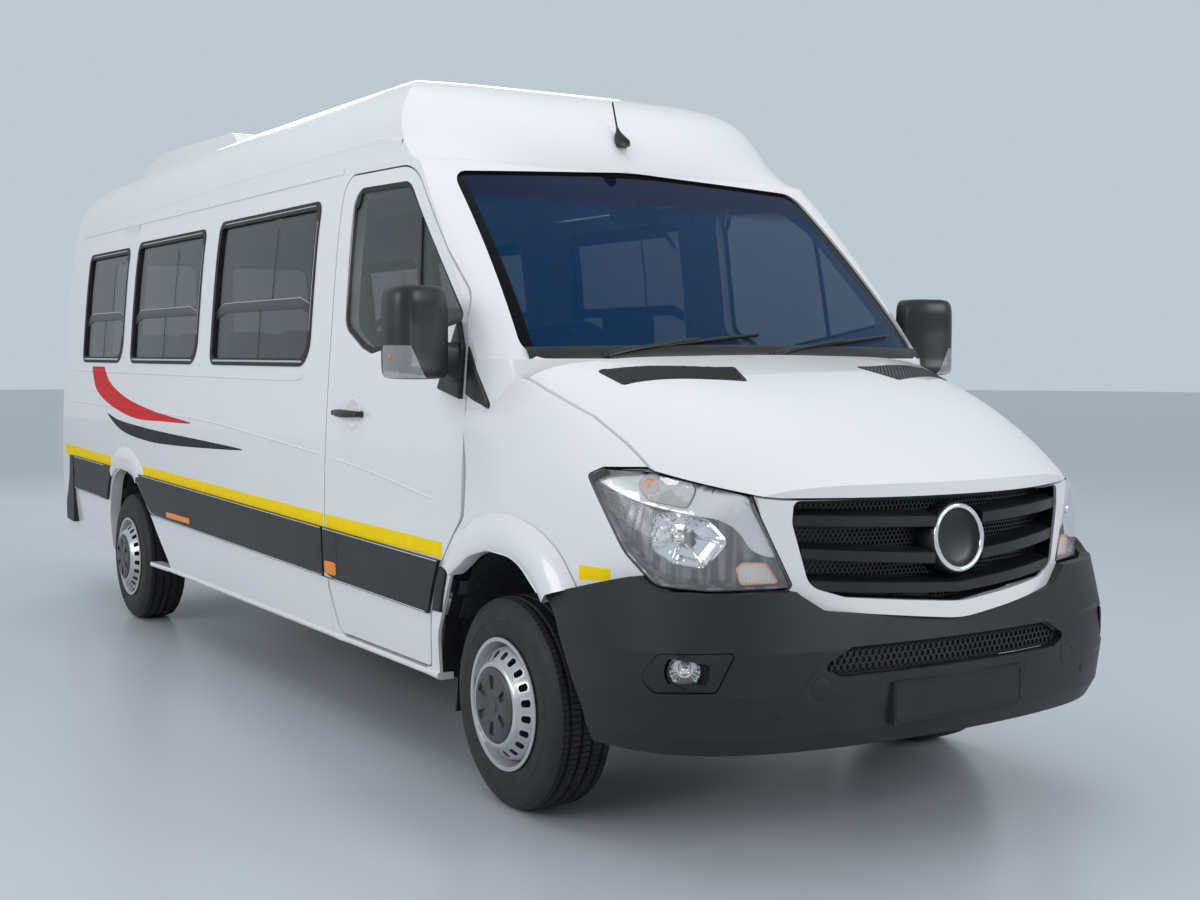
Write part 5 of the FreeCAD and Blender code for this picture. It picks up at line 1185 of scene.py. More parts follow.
# Pressed lines run along the flank: a soft step below the windows, a waist crease that falls towards the
# nose, a gutter seam and a step in the sill. The tail wears a red and a black stroke of film, which lies
# over the lines.
STROKES = [
    ("tail_stroke_red_", finish("film_red", (0.66, 0.02, 0.025), 0.40, 0.04, 0.1, Specular_IOR_Level=0.06),
     [(-5.044, 1.421), (-4.930, 1.425), (-4.815, 1.419), (-4.757, 1.378), (-4.630, 1.307), (-4.268, 1.228),
      (-3.743, 1.174), (-3.147, 1.137), (-3.620, 1.128), (-4.124, 1.127), (-4.611, 1.183), (-4.912, 1.257),
      (-5.022, 1.345)]),
    ("tail_stroke_black_",
     finish("film_black", (0.012, 0.014, 0.018), 0.40, 0.1, 0.1, Specular_IOR_Level=0.10),
     [(-4.677, 1.134), (-4.464, 1.108), (-4.158, 1.091), (-3.641, 1.074), (-2.826, 1.058), (-2.394, 1.045),
      (-2.900, 1.026), (-3.426, 1.014), (-3.873, 1.014), (-4.363, 1.048)])]
LINES = [
    ("step_line_", [(-5.490, 1.375), (-4.50, 1.372), (-3.10, 1.370), (-1.860, 1.370), (-1.690, 1.395)],
     0.010, 0.0035),
    ("waist_crease_", [(-5.590, 1.187), (-4.30, 1.176), (-3.03, 1.160), (-2.20, 1.120), (-1.445, 1.075)],
     0.012,
     0.0030),
    ("gutter_", [(-5.60, 2.192), (-3.60, 2.194), (-1.445, 2.196)], 0.006, 0.0040),
    ("sill_step_", [(-5.50, 0.462), (-5.15, 0.455)], 0.006, 0.0025)]
DOOR_LINE = [(-1.420, 1.073), (-1.00, 1.040), (-0.60, 0.995), (-0.42, 0.975)]
SEAM = (-2.765, -2.735, -1.485)


def ridge(points, wide, proud, skin, hand):
    """A low rounded ridge along a line of the flank, its edges run out into the skin."""
    spot, toward = beside(hand)
    count = max(6, int(abs(points[-1][0] - points[0][0]) / 0.05))
    rows = [[], [], [], [], []]
    for i, p in enumerate(curve_through(shifted(points), count)):
        fade = min(1.0, i / 3, (count - 1 - i) / 3)
        for row, (up, out) in zip(rows, ((-0.5, 0), (-0.22, 0.7), (0, 1.0), (0.22, 0.7), (0.5, 0))):
            row.append(laid(skin, spot(p.x, p.y + up * wide), toward,
                            0.0001 + proud * out * fade if out else -0.0002))
    return grid(rows, toward=-toward)


for side, hand in SIDES:
    spot, toward = beside(hand)
    skin = surface_of("side_panel_" + side, "roof", "windscreen_frame")
    piece("waist_door_" + side, ridge(DOOR_LINE, 0.010, 0.0026, doors[hand], hand), white_paint,
          "front_door_" + side,
          "body_paint", 60)
    creases = []
    for name, points, wide, proud in LINES:
        if len(points) == 5 and hand > 0:
            # the left flank's long lines are broken by the sliding door's seams
            level = points[2][1]
            bm = join(ridge([p for p in points if p[0] < SEAM[0]] + [(SEAM[0], level)], wide, proud, skin,
                            hand),
                      ridge([(SEAM[1], level), (SEAM[2], points[-1][1])], wide, proud, slide, hand))
        else:
            bm = ridge(points, wide, proud, skin, hand)
        creases.append(BVHTree.FromBMesh(bm))
        piece(name + side, bm, white_paint, "body", "body_paint", 60)
    for name, material, outline in STROKES:
        line = [Vector((p.x, min(p.y, 1.402))) for p in curve_through(shifted(outline), 90, closed=True)]
        bm = cut_sheet(line, side_spot, 0.06)
        for z in [1.132 + 0.002 * i for i in range(34)] + [1.366 + 0.002 * i for i in range(8)]:
            sliced(bm, (0, 0, z), (0, 0, 1))
        for vert in bm.verts:
            start = spot(vert.co.x, vert.co.z)
            over = [crease.ray_cast(start, toward)[0] for crease in creases]
            vert.co = max([laid(flanks[hand], start, toward, FILM)] + [hit - toward * 0.0009 for hit in over
                                                                       if hit],
                          key=lambda place: place.y * hand)
        piece(name + side, thickened(bm, toward, FILM_DEPTH), material, "body", "moulding_plastic", 30)

# Trim lines: each side moulding has a thin bright bead along its top and bottom edge, and the narrow groove
# that parts the rear end of each door's moulding is painted shade: a thin black strip laid on it. Under the
# doors runs a rounded sill that closes the body's lower edge from the front arch to the rear one and fills
# the corner behind the door.
MOULDING_EDGES = [(-0.402, -1.418, 0), (-0.510, -1.418, 1), (-1.447, -3.950, 0), (-1.447, -3.985, 1),
                  (-4.705, -5.390, 0), (-4.790, -5.390, 1)]
SILL_CORNER = [(-1.4385, 0.600), (-1.4220, 0.535), (-1.3840, 0.440), (-1.3610, 0.392), (-1.3350, 0.3725),
               (-1.3000, 0.3640), (-1.3000, 0.3500), (-1.4385, 0.3500)]
SILL_OUTLINE = ((-0.060, 0.012), (-0.006, 0.013), (0.0005, 0.0115), (0.004, 0.006), (0.0045, -0.002),
                (0.001, -0.009), (-0.007, -0.013), (-0.060, -0.013))
for side, hand in SIDES:
    spot, toward = beside(hand)
    beads = [tapered(shifted([(x, 0.7629 - 0.0155 * x - 0.192 * low) for x in (start, end)]),
                     [0.0035, 0.0035], spot, toward, mouldings if start < -1.43 else door_mouldings[hand],
                     0.0008, 0.001,
                     max(4, int(abs(start - end) / 0.08))) for start, end, low in MOULDING_EDGES]
    piece("moulding_bead_" + side, join(*beads[2:]), satin_chrome, "body", "moulding_plastic", 30)
    piece("moulding_bead_door_" + side, join(*beads[:2]), satin_chrome, "front_door_" + side,
          "moulding_plastic", 30)
    # The groove's shade is painted: a thin black strip laid on the moulding.
    piece("moulding_groove_shade_" + side,
          tapered(shifted([(-1.287, 0.592), (-1.287, 0.783)]), [0.0045, 0.0045], spot,
                                             toward, door_mouldings[hand], 0.0007, 0.001, 8), bead_black,
          "front_door_" + side, "black_plastic", 30)
    rows = []
    for x in (FRONT_AXLE_X - 0.470 - 3.42 * i / 35 for i in range(36)):
        skin = doors[hand] if x > FRONT_AXLE_X - 1.40 else flanks[hand]
        face = abs(laid(skin, spot(x, 0.395), toward).y) - 0.004
        rows.append([Vector((x, hand * (face + y), 0.352 + z)) for y, z in SILL_OUTLINE])
    corner = cut_sheet(shifted(SILL_CORNER), side_spot, 0.03)
    for vert in corner.verts:
        vert.co.y = laid(flanks[hand], spot(min(vert.co.x, FRONT_AXLE_X - 1.446), max(vert.co.z, 0.372)),
                         toward).y
    piece("sill_" + side, join(tube(rows), thickened(corner, toward, 0.020, 0.001)), white_paint, "body",
          "body_paint", 40)

# The roof's sections meet in shallow butt seams, and a soft ridge runs along each edge of the roof to lead
# water to the tail.
roof_skin = surface_of("roof")
UP, DOWN = (0, 0, 1), (0, 0, -1)


def roof_line(points, wide, proud, count):
    """A low ridge over the roof along points, dropped on its skin from the side and above."""
    line, rows = curve_through(points, count), [[], [], []]
    for i, p in enumerate(line):
        out = (p - Vector((p.x, 0, 1.7))).normalized()
        cross = (line[min(i + 1, count - 1)] - line[max(i - 1, 0)]).normalized().cross(out).normalized()
        for row, (by, lift) in zip(rows, ((-0.5, -0.0004), (0, proud), (0.5, -0.0004))):
            hit = roof_skin.ray_cast(p + cross * wide * by + out * 0.5, -out,
                                     1.5)[0] or roof_skin.find_nearest(p)[0]
            row.append(hit + out * lift)
    return grid(rows, toward=UP)


def block(place, size, soft=0.0, turn=0.0, axis="Z"):
    """A box, turned about an axis, its edges rounded."""
    bm = bmesh.new()
    bmesh.ops.create_cube(bm, size=1.0, matrix=Matrix.Translation(place) @ Matrix.Rotation(turn, 4, axis)
                          @ Matrix.Diagonal((*size, 1)))
    if soft:
        bmesh.ops.bevel(bm, geom=bm.edges[:], offset=soft, segments=2, profile=0.5, affect="EDGES",
                        material=-1)
    return bm


arch = [(1.05 * math.sin(turn), 1.9 + 0.80 * math.cos(turn)) for turn in (
    math.radians(-82 + 164 * i / 30) for i in range(31))]
piece("roof_seams", join(*[roof_line([ahead(x, y, z) for y, z in arch], 0.007, 0.0016, 61)
                           for x in (-1.470, -3.150, -4.550)]), white_paint, "body", "body_paint", 60)
for side, hand in SIDES:
    points = [ahead(x, hand * 0.975, z) for x,
              z in ((-0.95, 2.340), (-1.15, 2.372), (-1.40, 2.380), (-3.11, 2.363),
                                                     (-4.28, 2.328), (-5.14, 2.287), (-5.49, 2.263))]
    piece("roof_swage_" + side, roof_line(points, 0.026, 0.0045, 80), white_paint, "body", "body_paint", 60)

# The air conditioner is a low pod on the roof's tail: a moulded lid with two round fan grilles in its top
# and a louvred intake across its nose.
ac_skin = surface_of("air_conditioning_unit")
guards, wells, louvres = [], [], []
for x in (REAR_AXLE_X - 0.62, REAR_AXLE_X + 0.02):
    centre = laid(ac_skin, (x, 0, 2.9), DOWN)
    wells.append(turned([(0.0, -0.0035), (0.165, -0.0035), (0.170, -0.001), (0.174, 0.0035), (0.186, 0.0045),
                         (0.192, 0.003), (0.194, -0.003)], centre, UP))
    guards += [turned([(r - 0.0025, -0.004), (r - 0.0025, 0.003), (r + 0.0025, 0.003), (r + 0.0025, -0.004)],
                      centre,
                      UP, 56, True) for r in (0.030, 0.060, 0.090, 0.120, 0.150)]
    guards += [block(centre + Vector((0.094 * math.cos(a), 0.094 * math.sin(a), 0.0005)),
                     (0.145, 0.005, 0.004),
                     turn=a) for a in angles(8)]
    guards.append(turned([(0.0, 0.005), (0.024, 0.0045), (0.028, 0.002), (0.028, -0.004), (0.0, -0.004)],
                         centre, UP,
                         32))
piece("ac_fan_rings", join(*wells), white_paint, "body", "body_paint", 40)
piece("ac_fan_guards", join(*guards), bead_black, "body", "black_plastic", 30)
for z in (2.588 + 0.014 * i for i in range(5)):
    fronts = [laid(ac_skin, (REAR_AXLE_X + 1.2, -0.40 + 0.05 * k, z), BACKWARD) for k in range(17)]
    louvres.append(tube([[front + Vector(by)
                          for by in ((-0.004, 0, 0.0046), (0.008, 0, 0.0006), (0.008, 0, -0.0012),
                                                       (-0.004, 0, 0.0008))] for front in fronts]))
piece("ac_louvres", join(*louvres), bead_black, "body", "black_plastic", 30)

# The aerial stands on the crown ahead of the roof seam: a raked mast of wound wire on a moulded rubber
# foot that narrows upwards and leans back.
AERIAL_FOOT = ahead(-0.790, 0, 2.302)
foot = tube([[AERIAL_FOOT + Vector((0.055 * share * math.cos(a) - back, 0.024 * share * math.sin(a), height))
              for a in angles(28)] for share, height, back in (
    (1.0, -0.012, 0.0), (1.0, 0.004, 0.0), (0.93, 0.012, 0.002), (0.70, 0.026, 0.010), (0.42, 0.042, 0.018),
    (0.20, 0.056, 0.024), (0.17, 0.066, 0.027))])
piece("aerial_foot", foot, bead_black, "body", "black_plastic", 45, ["aerial"])
winding = [(0.0034 if k % 2 else 0.0040, 0.006 + 0.0022 * k) for k in range(48)]
piece("aerial_mast", turned([(0.0, 0.0), (0.0042, 0.0), (0.0040, 0.004)] + winding + [
    (0.0030, 0.113), (0.0034, 0.116), (0.0, 0.119)], AERIAL_FOOT + Vector((-0.027, 0, 0.060)), (-0.32, 0, 1),
                            12),
      bead_black, "body", "black_plastic", 30)

# Below the windscreen a black moulded cowl takes in air and hides the wiper spindles. Two arms with hinged
# heads press long blades on the glass, parked side by side along its foot.
screen_skin, bonnet_skin = surface_of("windscreen", "windscreen_frame"), surface_of("bonnet")
GLASS_SLOPE = Vector((0.66, 0, 0.75)).normalized()
rows = []
for y in (-0.86 + 1.72 * i / 44 for i in range(45)):
    base = laid(screen_skin, ahead(0.6, y, 1.490), BACKWARD, 0.0, 0.9)
    bend = 0.010 * math.cos(y / 0.86 * math.pi / 2)
    rows.append([base + Vector((x, 0, z)) for x, z in ((0.0006, 0.012 + bend), (0.006, 0.010 + bend),
                                                       (0.016, -0.004 + bend), (0.026, -0.016),
                                                       (0.028, -0.026))])
piece("cowl", grid(rows, toward=UP, thick=0.0025), mirror_black, "body", "black_plastic", 40)


def glass_point(y, z, out):
    """A point on the outside of the windscreen, lifted along its slope."""
    return laid(screen_skin, ahead(0.6, y, z), BACKWARD, 0.0, 1.2) + GLASS_SLOPE * out


def swept(points, sections):
    """A rod over the glass through points, its half width and half height given at each."""
    rows = []
    for i, (p, (wide, tall)) in enumerate(zip(points, sections)):
        run = (points[min(i + 1, len(points) - 1)] - points[max(i - 1, 0)]).normalized()
        aside = run.cross(GLASS_SLOPE).normalized()
        high = aside.cross(run).normalized()
        rows.append([p + aside * wide * math.cos(a + math.pi / 10) + high * tall * math.sin(a + math.pi / 10)
                     for a in angles(10)])
    return tube(rows)


arms, blades, lips = [], [], []
for pivot_y in (-0.600, 0.065):
    pivot, elbow = glass_point(pivot_y, 1.468, 0.0), glass_point(pivot_y + 0.075, 1.480, 0.020)
    rest_end, hook = glass_point(pivot_y + 0.360, 1.512, 0.030), glass_point(pivot_y + 0.372, 1.513, 0.024)
    arms += [turned([(0.0, -0.004), (0.016, -0.004), (0.016, 0.010), (0.013, 0.016), (0.0, 0.018)], pivot,
                    GLASS_SLOPE, 24),
             swept([pivot + Vector((0.010, 0, 0.0113))] + [elbow.lerp(rest_end, t)
                                                           for t in (0, 0.25, 0.5, 0.75, 1)],
                   [(0.011, 0.0055), (0.010, 0.0060), (0.007, 0.0040), (0.0055, 0.0028), (0.0050, 0.0024),
                    (0.0050, 0.0022)]),
             swept([rest_end, hook], [(0.0050, 0.0022), (0.0045, 0.0030)])]
    blade, lip, sizes = [], [], []
    for t in (i / 24 for i in range(25)):
        y, low = pivot_y + 0.370 + 0.290 * (2 * t - 1), 1.5135 + 0.10 * 0.290 * (2 * t - 1)
        blade.append(glass_point(y, low, 0.0125 + 0.004 * math.sin(math.pi * t)))
        lip.append(glass_point(y, low, 0.0045))
        swell = math.sin(math.pi * (0.06 + 0.88 * t))
        sizes.append((0.0060 * (0.45 + 0.55 * swell), 0.0034 * (0.5 + 0.5 * swell)))
    blades.append(swept(blade, sizes))
    lips.append(swept(lip, [(0.0022, 0.0050)] * 25))
piece("wiper_arms", join(*arms), mirror_black, "body", "black_plastic", 40, ["wipers"])
piece("wiper_blades", join(*blades), bead_black, "body", "black_plastic", 40)
piece("wiper_rubbers", join(*lips), window_rubber, "body", "window_rubber", 40)

# Two black louvred vents are let into the back of the bonnet, each a frame of slanting ribs over a dark
# well.
vent_line = rounded(shifted([(0.165, -0.715, 0.015), (0.300, -0.265, 0.012), (0.445, -0.325, 0.012),
                             (0.300, -0.700, 0.020)]), 5)


def on_bonnet(x, y, lift):
    return laid(bonnet_skin, (x, y, 1.75), DOWN, lift)


vent = [sheet(vent_line, lambda x, y: Vector((x, y, 1.75)), DOWN, bonnet_skin, 0.0008, 0.001, 0.03),
        grid(rings(vent_line, ((-0.002, -0.001), (0.0, 0.0030), (0.005, 0.0036), (0.008, 0.0010)),
                   on_bonnet),
             wrap=True, toward=UP)]
clear = inset_line(vent_line, 0.006)
for k in range(38):
    line = [ahead(0.160 + 0.012 * j, -0.860 + 0.016 * k + 0.010 * j, 0) for j in range(26)]
    line = [p for p in line if inside(clear, p.x, p.y)]
    if len(line) > 2:
        vent.append(grid([[on_bonnet(p.x, p.y + by, lift) for p in line] for by, lift in (
            (0.0050, 0.0010), (0.0, 0.0040), (-0.0012, 0.0004))], toward=UP))
both_sides(("bonnet_vent_", join(*vent), bead_black, "bonnet", "black_plastic", 30))

# Upright tail lamps fill the corners beside the doors: one moulded lens each, in red, amber and clear bands,
# with fine upright ribs, thin black dividers and a black gasket.
tail_red, place, lay = principled("tail_lamp_red", (0.55, 0.012, 0.012), 0.10, 0.05, 0.03, Coat_Weight=1.0,
                                  Coat_Roughness=0.03)
height = place.axis(2)
amber_band = height.step(1.298, 1.300) * height.step(1.412, 1.410)
clear_band = height.step(1.075, 1.077) * height.step(1.168, 1.166)
flutes = (height * 900.0).math("SINE") * 0.5 + 0.5
colour = amber_band.blend((0.50, 0.010, 0.010, 1), (0.80, 0.24, 0.02, 1))
colour = clear_band.blend(colour, (0.62, 0.62, 0.63, 1))
# The flutes also darken the lens colour in fine stripes: painted shade of the ribs, on top of their bump.
lay("Base Color", (flutes * 0.35).blend(colour, (0.08, 0.005, 0.005, 1)))
lay("Normal", flutes.bump(0.4, 0.0006))
LAMP_BANDS = (1.077, 1.168, 1.299)


def at_station(y, z, x):
    return Vector((x, y, z))


lamp_line = box_line(-0.923, -0.814, 0.962, 1.418, 0.012, 5)
lens = grid(rings(lamp_line, ((0.0, -3.3160), (0.0, -3.3240), (0.0012, -3.3275), (0.0036, -3.3310),
                              (0.0072, -3.3335), (0.0108, -3.3345)), at_station), wrap=True, last=True,
            toward=BACKWARD)
for z in LAMP_BANDS:
    sliced(lens, (0, 0, z), UP)
gasket = grid(rings(lamp_line, ((0.002, -3.3155), (-0.0035, -3.3155), (-0.0035, -3.3185), (-0.0005, -3.3195),
                                (0.001, -3.3185)), at_station), wrap=True)
dividers = join(*[block((-3.3348, -0.8685, z), (0.003, 0.100, 0.0022), 0.0006) for z in LAMP_BANDS])

# Back doors: a rubber seal round each pane, three hinges each side, a long black handle and a blank plate
# panel under a lamp strip on the right door, and a brake lamp above.
pane = rounded([(-0.690, 1.440, 0.060), (-0.110, 1.440, 0.060), (-0.110, 2.060, 0.060),
                (-0.655, 2.060, 0.080)], 8)
pane_seal = grid(rings(pane, ((0.001, -3.3060), (-0.004, -3.3152), (-0.006, -3.3185), (0.004, -3.3190),
                              (0.012, -3.3165), (0.014, -3.3062)), at_station), wrap=True)
hinges = []
for z in (0.86, 1.50, 2.05):
    hinges += [turned([(0.0, -0.045), (0.0058, -0.045), (0.0068, -0.041), (0.0068, 0.041), (0.0058, 0.045),
                       (0.0, 0.045)], (-3.3190, -0.790, z), UP, 20),
               block((-3.3178, -0.7625, z), (0.006, 0.050, 0.062), 0.002)]
    hinges += [turned([(0.0, -0.004), (0.0075, -0.004), (0.0075, 0.002), (0.006, 0.0035), (0.0, 0.0035)],
                      (-3.3208, -0.758, z + s), BACKWARD, 6) for s in (-0.018, 0.018)]
both_sides(("tail_lens_", lens, tail_red, "body", "tail_lamp_red", 40, "tail_lamps"),
           ("tail_gasket_", gasket, window_rubber, "body", "window_rubber", 30),
           ("tail_dividers_", dividers, bead_black, "body", "black_plastic", 30),
           ("rear_window_seal_", pane_seal, window_rubber, "rear_door_", "window_rubber", 35),
           ("rear_hinges_", join(*hinges), white_paint, "rear_door_", "body_paint", 35))
rows = []
for t in (i / 12 for i in range(13)):
    out = 0.010 + 0.020 * math.sin(math.pi * (0.08 + 0.84 * t)) ** 0.5
    rows.append([Vector((-3.3155 - out + 0.006 * math.cos(a), -0.205 + 0.150 * t,
                         1.185 + 0.013 * math.sin(a)))
                 for a in angles(12)])
feet = [turned([(0.0, 0.0), (0.011, 0.0), (0.010, 0.014), (0.0, 0.014)], (-3.3148, y, 1.185), BACKWARD, 18)
        for y in (-0.195, -0.065)]
piece("rear_handle", join(tube(rows), *feet), mirror_black, "rear_door_right", "black_plastic", 45)
for name, line, steps, material, slot, smooth in (
        ("rear_plate_carrier", box_line(-0.560, -0.032, 0.905, 1.045, 0.012, 4), TRAY_STEPS, charcoal,
         "charcoal_plastic", 30),
        ("plate_lamp_strip", box_line(-0.500, -0.092, 1.058, 1.086, 0.006, 3),
         ((-0.001, 0.0), (0.0, 0.012), (0.003, 0.015), (0.008, 0.0155)), mirror_black, "black_plastic", 30)):
    piece(name, grid(rings(line, steps, lambda y, z, d: Vector((-3.3152 - d, y, z))), wrap=True, last=True,
                     toward=BACKWARD), material, "rear_door_right", slot, smooth)
piece("high_brake_lamp",
      sheet(box_line(-0.135, 0.135, 2.432, 2.462, 0.010), lambda y, z: Vector((-3.50, y, z)),
                               (1, 0, 0), roof_skin, 0.010, 0.014, 0.02, 0.004, 3), tail_red, "body",
      "tail_lamp_red", 40)

# The rear bumper's step is ribbed across its middle, so that a shoe doesn't slip: seven low treads that
# follow its top.
step_skin = surface_of("rear_bumper")
treads = [grid([[laid(step_skin, (x + by, -0.60 + 0.10 * i, 0.9), DOWN, lift) for i in range(13)]
                for by, lift in ((-0.0028, 0.0003), (0, 0.0030), (0.0028, 0.0003))], toward=UP)
          for x in (-3.352 - 0.010 * k for k in range(7))]
piece("step_treads", join(*treads), charcoal, "body", "charcoal_plastic", 30)

# Seats are foam under fabric. Each is a wide cushion, a raked back with side bolsters and a head restraint
# on two steel posts. One set of pads is blown up by a cloth simulation, then cut to each seat's size and
# sewn: grooves pressed in for the channels and a welt where the panels meet.
CLOTH = {"Sheen_Weight": 0.35, "Sheen_Roughness": 0.4}


def weave(place, direction, scale, distortion=1.5):
    return place.node("TexWave", {"bands_direction": direction}, {"Vector": place, "Scale": scale,
                                                                  "Distortion": distortion})


seat_cloth, place, lay = principled("seat_fabric", (0.085, 0.090, 0.105), 0.85, 0.25, 0.03, **CLOTH)
lay("Normal", (weave(place, "DIAGONAL", 260.0) + weave(place, "Z", 300.0, 1.0)).bump(0.5, 0.0004))
row_cloth, place, lay = principled("passenger_fabric", (0.135, 0.090, 0.150), 0.85, 0.2, 0.05, **CLOTH)
lay("Normal", weave(place, "DIAGONAL", 240.0).bump(0.5, 0.0004))
seat_shell = finish("seat_shell", (0.025, 0.026, 0.029), 0.50, 0.15, 0.08, 0.00015, 0.0015)
post_steel = finish("post_steel", (0.62, 0.63, 0.65), 0.18, 0.03, Metallic=1.0)
CLOTH_FRAMES, PAD_CELL = 20, 0.022


def swollen(size, cap):
    """A box of foam blown up by its cover: the points of a box of this size after a cloth simulation.

    The box's edges are rounded first. Returns a bmesh about the origin; no point moves more than cap.
    """
    bm = block((0, 0, 0), size)
    for axis in range(3):
        cuts = max(2, round(size[axis] / PAD_CELL))
        normal = Vector([k == axis for k in range(3)])
        for i in range(1, cuts):
            sliced(bm, normal * size[axis] * (i / cuts - 0.5), normal)
    round_by = min(size) * 0.42
    for vert in bm.verts:
        core = Vector([max(-s / 2 + round_by, min(s / 2 - round_by, c)) for c, s in zip(vert.co, size)])
        away = vert.co - core
        if away.length > round_by * 0.999:
            vert.co = core + away.normalized() * round_by
    start = [v.co.copy() for v in bm.verts]
    mesh = bpy.data.meshes.new("pad")
    bm.to_mesh(mesh)
    pad = bpy.data.objects.new("pad", mesh)
    scene.collection.objects.link(pad)
    cloth = pad.modifiers.new("cloth", "CLOTH")
    cloth.settings.quality = 6
    cloth.settings.use_pressure = True
    cloth.settings.uniform_pressure_force = 4.0
    cloth.settings.tension_stiffness = cloth.settings.compression_stiffness = 30
    cloth.settings.effector_weights.gravity = 0
    cloth.point_cache.frame_start, cloth.point_cache.frame_end = 1, CLOTH_FRAMES
    for frame_number in range(1, CLOTH_FRAMES + 1):
        scene.frame_set(frame_number)
    shape = pad.evaluated_get(bpy.context.evaluated_depsgraph_get()).to_mesh()
    for vert, first, end in zip(bm.verts, start, shape.vertices):
        move = end.co - first
        vert.co = first + (move.normalized() * min(move.length, cap) if move.length > 1e-6 else move)
    bpy.data.objects.remove(pad)
    scene.frame_set(1)
    return bm


pads = {name: swollen(size, cap) for name, size, cap in (("cushion", (0.470, 0.480, 0.118), 0.012),
                                                         ("back", (0.120, 0.480, 0.520), 0.012),
                                                         ("rest", (0.085, 0.250, 0.160), 0.008))}


def groove(offset, wide, deep):
    """How far a sewn channel presses a cover in at a distance from its line."""
    return deep * math.exp(-(offset / wide) ** 2)


def seat_parts(x, y, width, height, top):
    """The three pads of one seat, placed and sewn, and the hard parts below and between them."""
    cushion_top, wide = 0.7003 + height + 0.090, width / 0.500
    cushion, back, rest = (pads[name].copy() for name in ("cushion", "back", "rest"))
    for vert in cushion.verts:
        p = vert.co
        if p.z > 0:
            p.z -= groove(abs(p.y) - 0.155, 0.010, 0.007) + groove(p.x - 0.02, 0.008,
                                                                   0.006) * (abs(p.y) < 0.17)
            p.z += 0.012 * max(0.0, (abs(p.y) - 0.16) / 0.08) - 0.020 * max(0.0, (p.x - 0.17) / 0.065) ** 2
        vert.co = Vector((x + 0.268 + p.x, y + p.y * wide, cushion_top - 0.064 + p.z + 0.02 * (p.x / 0.235)))
    lean = Matrix.Rotation(-math.atan2(0.150, top - cushion_top), 3, "Y")
    for vert in back.verts:
        p = vert.co
        if p.x > 0:
            p.x -= groove(abs(p.y) - 0.150, 0.010, 0.007)
            for line in (-0.13, -0.02, 0.10):
                p.x -= groove(p.z - line, 0.008, 0.005) * (abs(p.y) < 0.165)
            p.x += 0.016 * max(0.0, (abs(p.y) - 0.15) / 0.09)
        narrow, tall = 1 - 0.10 * max(0.0, p.z / 0.26) ** 2, (top - cushion_top + 0.150) / 0.520
        vert.co = Vector((x - 0.020, y, (cushion_top + top) / 2 - 0.045)) + lean @ Vector(
            (p.x, p.y * wide * narrow, p.z * tall))
    for vert in rest.verts:
        p = vert.co
        if p.x > 0:
            p.x -= groove(p.z + 0.02, 0.007, 0.004)
        vert.co = Vector((x - 0.088 + p.x - 0.10 * p.z, y + p.y, top + 0.106 + p.z))
    posts = []
    for s in (-0.060, 0.060):
        posts += [turned([(0.0, -0.055), (0.0060, -0.055), (0.0060, 0.050), (0.0, 0.050)],
                         (x - 0.086, y + s, top + 0.002), (-0.05, 0, 1), 16),
                  turned([(0.0065, 0.0), (0.0125, 0.0), (0.0115, 0.010), (0.0065, 0.011)],
                         (x - 0.087, y + s, top + 0.004), (-0.05, 0, 1), 16, True)]
    rows = []
    for z, grow, shift in ((0.7006, 0.012, 0.0), (0.712, 0.010, 0.0), (0.722, 0.0, 0.0), (0.80, -0.020, 0.0),
                           (cushion_top - 0.16, -0.015, 0.0), (cushion_top - 0.130, 0.030, 0.010),
                           (cushion_top - 0.112, 0.050, 0.015), (cushion_top - 0.104, 0.050, 0.015)):
        reach = width * 0.32 + grow
        line = box_line(x + 0.090 - grow, x + 0.400 + grow + shift, y - reach, y + reach, 0.03, 4)
        rows.append([Vector((p.x, p.y, z)) for p in line])
    levers = [turned([(0.0, 0.0), (0.030, 0.0), (0.034, 0.004), (0.034, 0.012), (0.028, 0.018),
                      (0.0, 0.020)],
                     (x + 0.060, y + s * (width / 2 - 0.004), cushion_top - 0.060), (0, s, 0), 24)
              for s in (-1, 1)]
    return {"cushion": cushion, "back": back, "rest": rest}, posts, [tube(rows)] + levers


FRONT_SEATS = [(FRONT_AXLE_X - 1.250, y, 0.500, 0.360, 1.480) for y in (-0.440, 0.400)]
ROW_SEATS = [(FRONT_AXLE_X - 2.332 - row * 0.790, y, 0.400, 0.330, 1.400) for row in range(4)
             for y in (-0.660, -0.245, 0.660)]
for label, places, cloth_of, slot, node in (
        ("front_seat", FRONT_SEATS, seat_cloth, "seat_fabric", "front_seats"),
        ("row_seat", ROW_SEATS, row_cloth, "passenger_fabric", "passenger_seats")):
    hard, metal = [], []
    for number, sizes in enumerate(places):
        soft, posts, shroud = seat_parts(*sizes)
        hard += shroud
        metal += posts
        for part, bm in soft.items():
            made = piece("%s_%s_%d" % (label, part, number), faced(bm), cloth_of, "body", slot, 60,
                         [node] if number == 0 and part == "cushion" else ())
    piece(label + "_shrouds", join(*hard), seat_shell, "body", "cabin_plastic")
    piece(label + "_posts", join(*metal), post_steel, "body", "bare_steel")

# The dashboard is a grained moulding in two tones, with a hooded cluster of two dials ahead of the wheel,
# round and square air outlets, a centre stack with buttons and a knob row, and a shut glovebox.
dash_plastic, place, lay = principled("cabin_plastic", (0.055, 0.057, 0.062), 0.55, 0.1, 0.3, 0.00025,
                                      0.0022)
lay("Base Color", place.axis(2).step(1.262, 1.266).blend((0.150, 0.152, 0.160, 1), (0.030, 0.031, 0.034, 1)))
paint_node(dash_plastic, "dashboard")
dash_skin = surface_of("dashboard")


def on_dash(y, z, lift):
    return laid(dash_skin, ahead(-0.9, y, z), (1, 0, 0), lift)


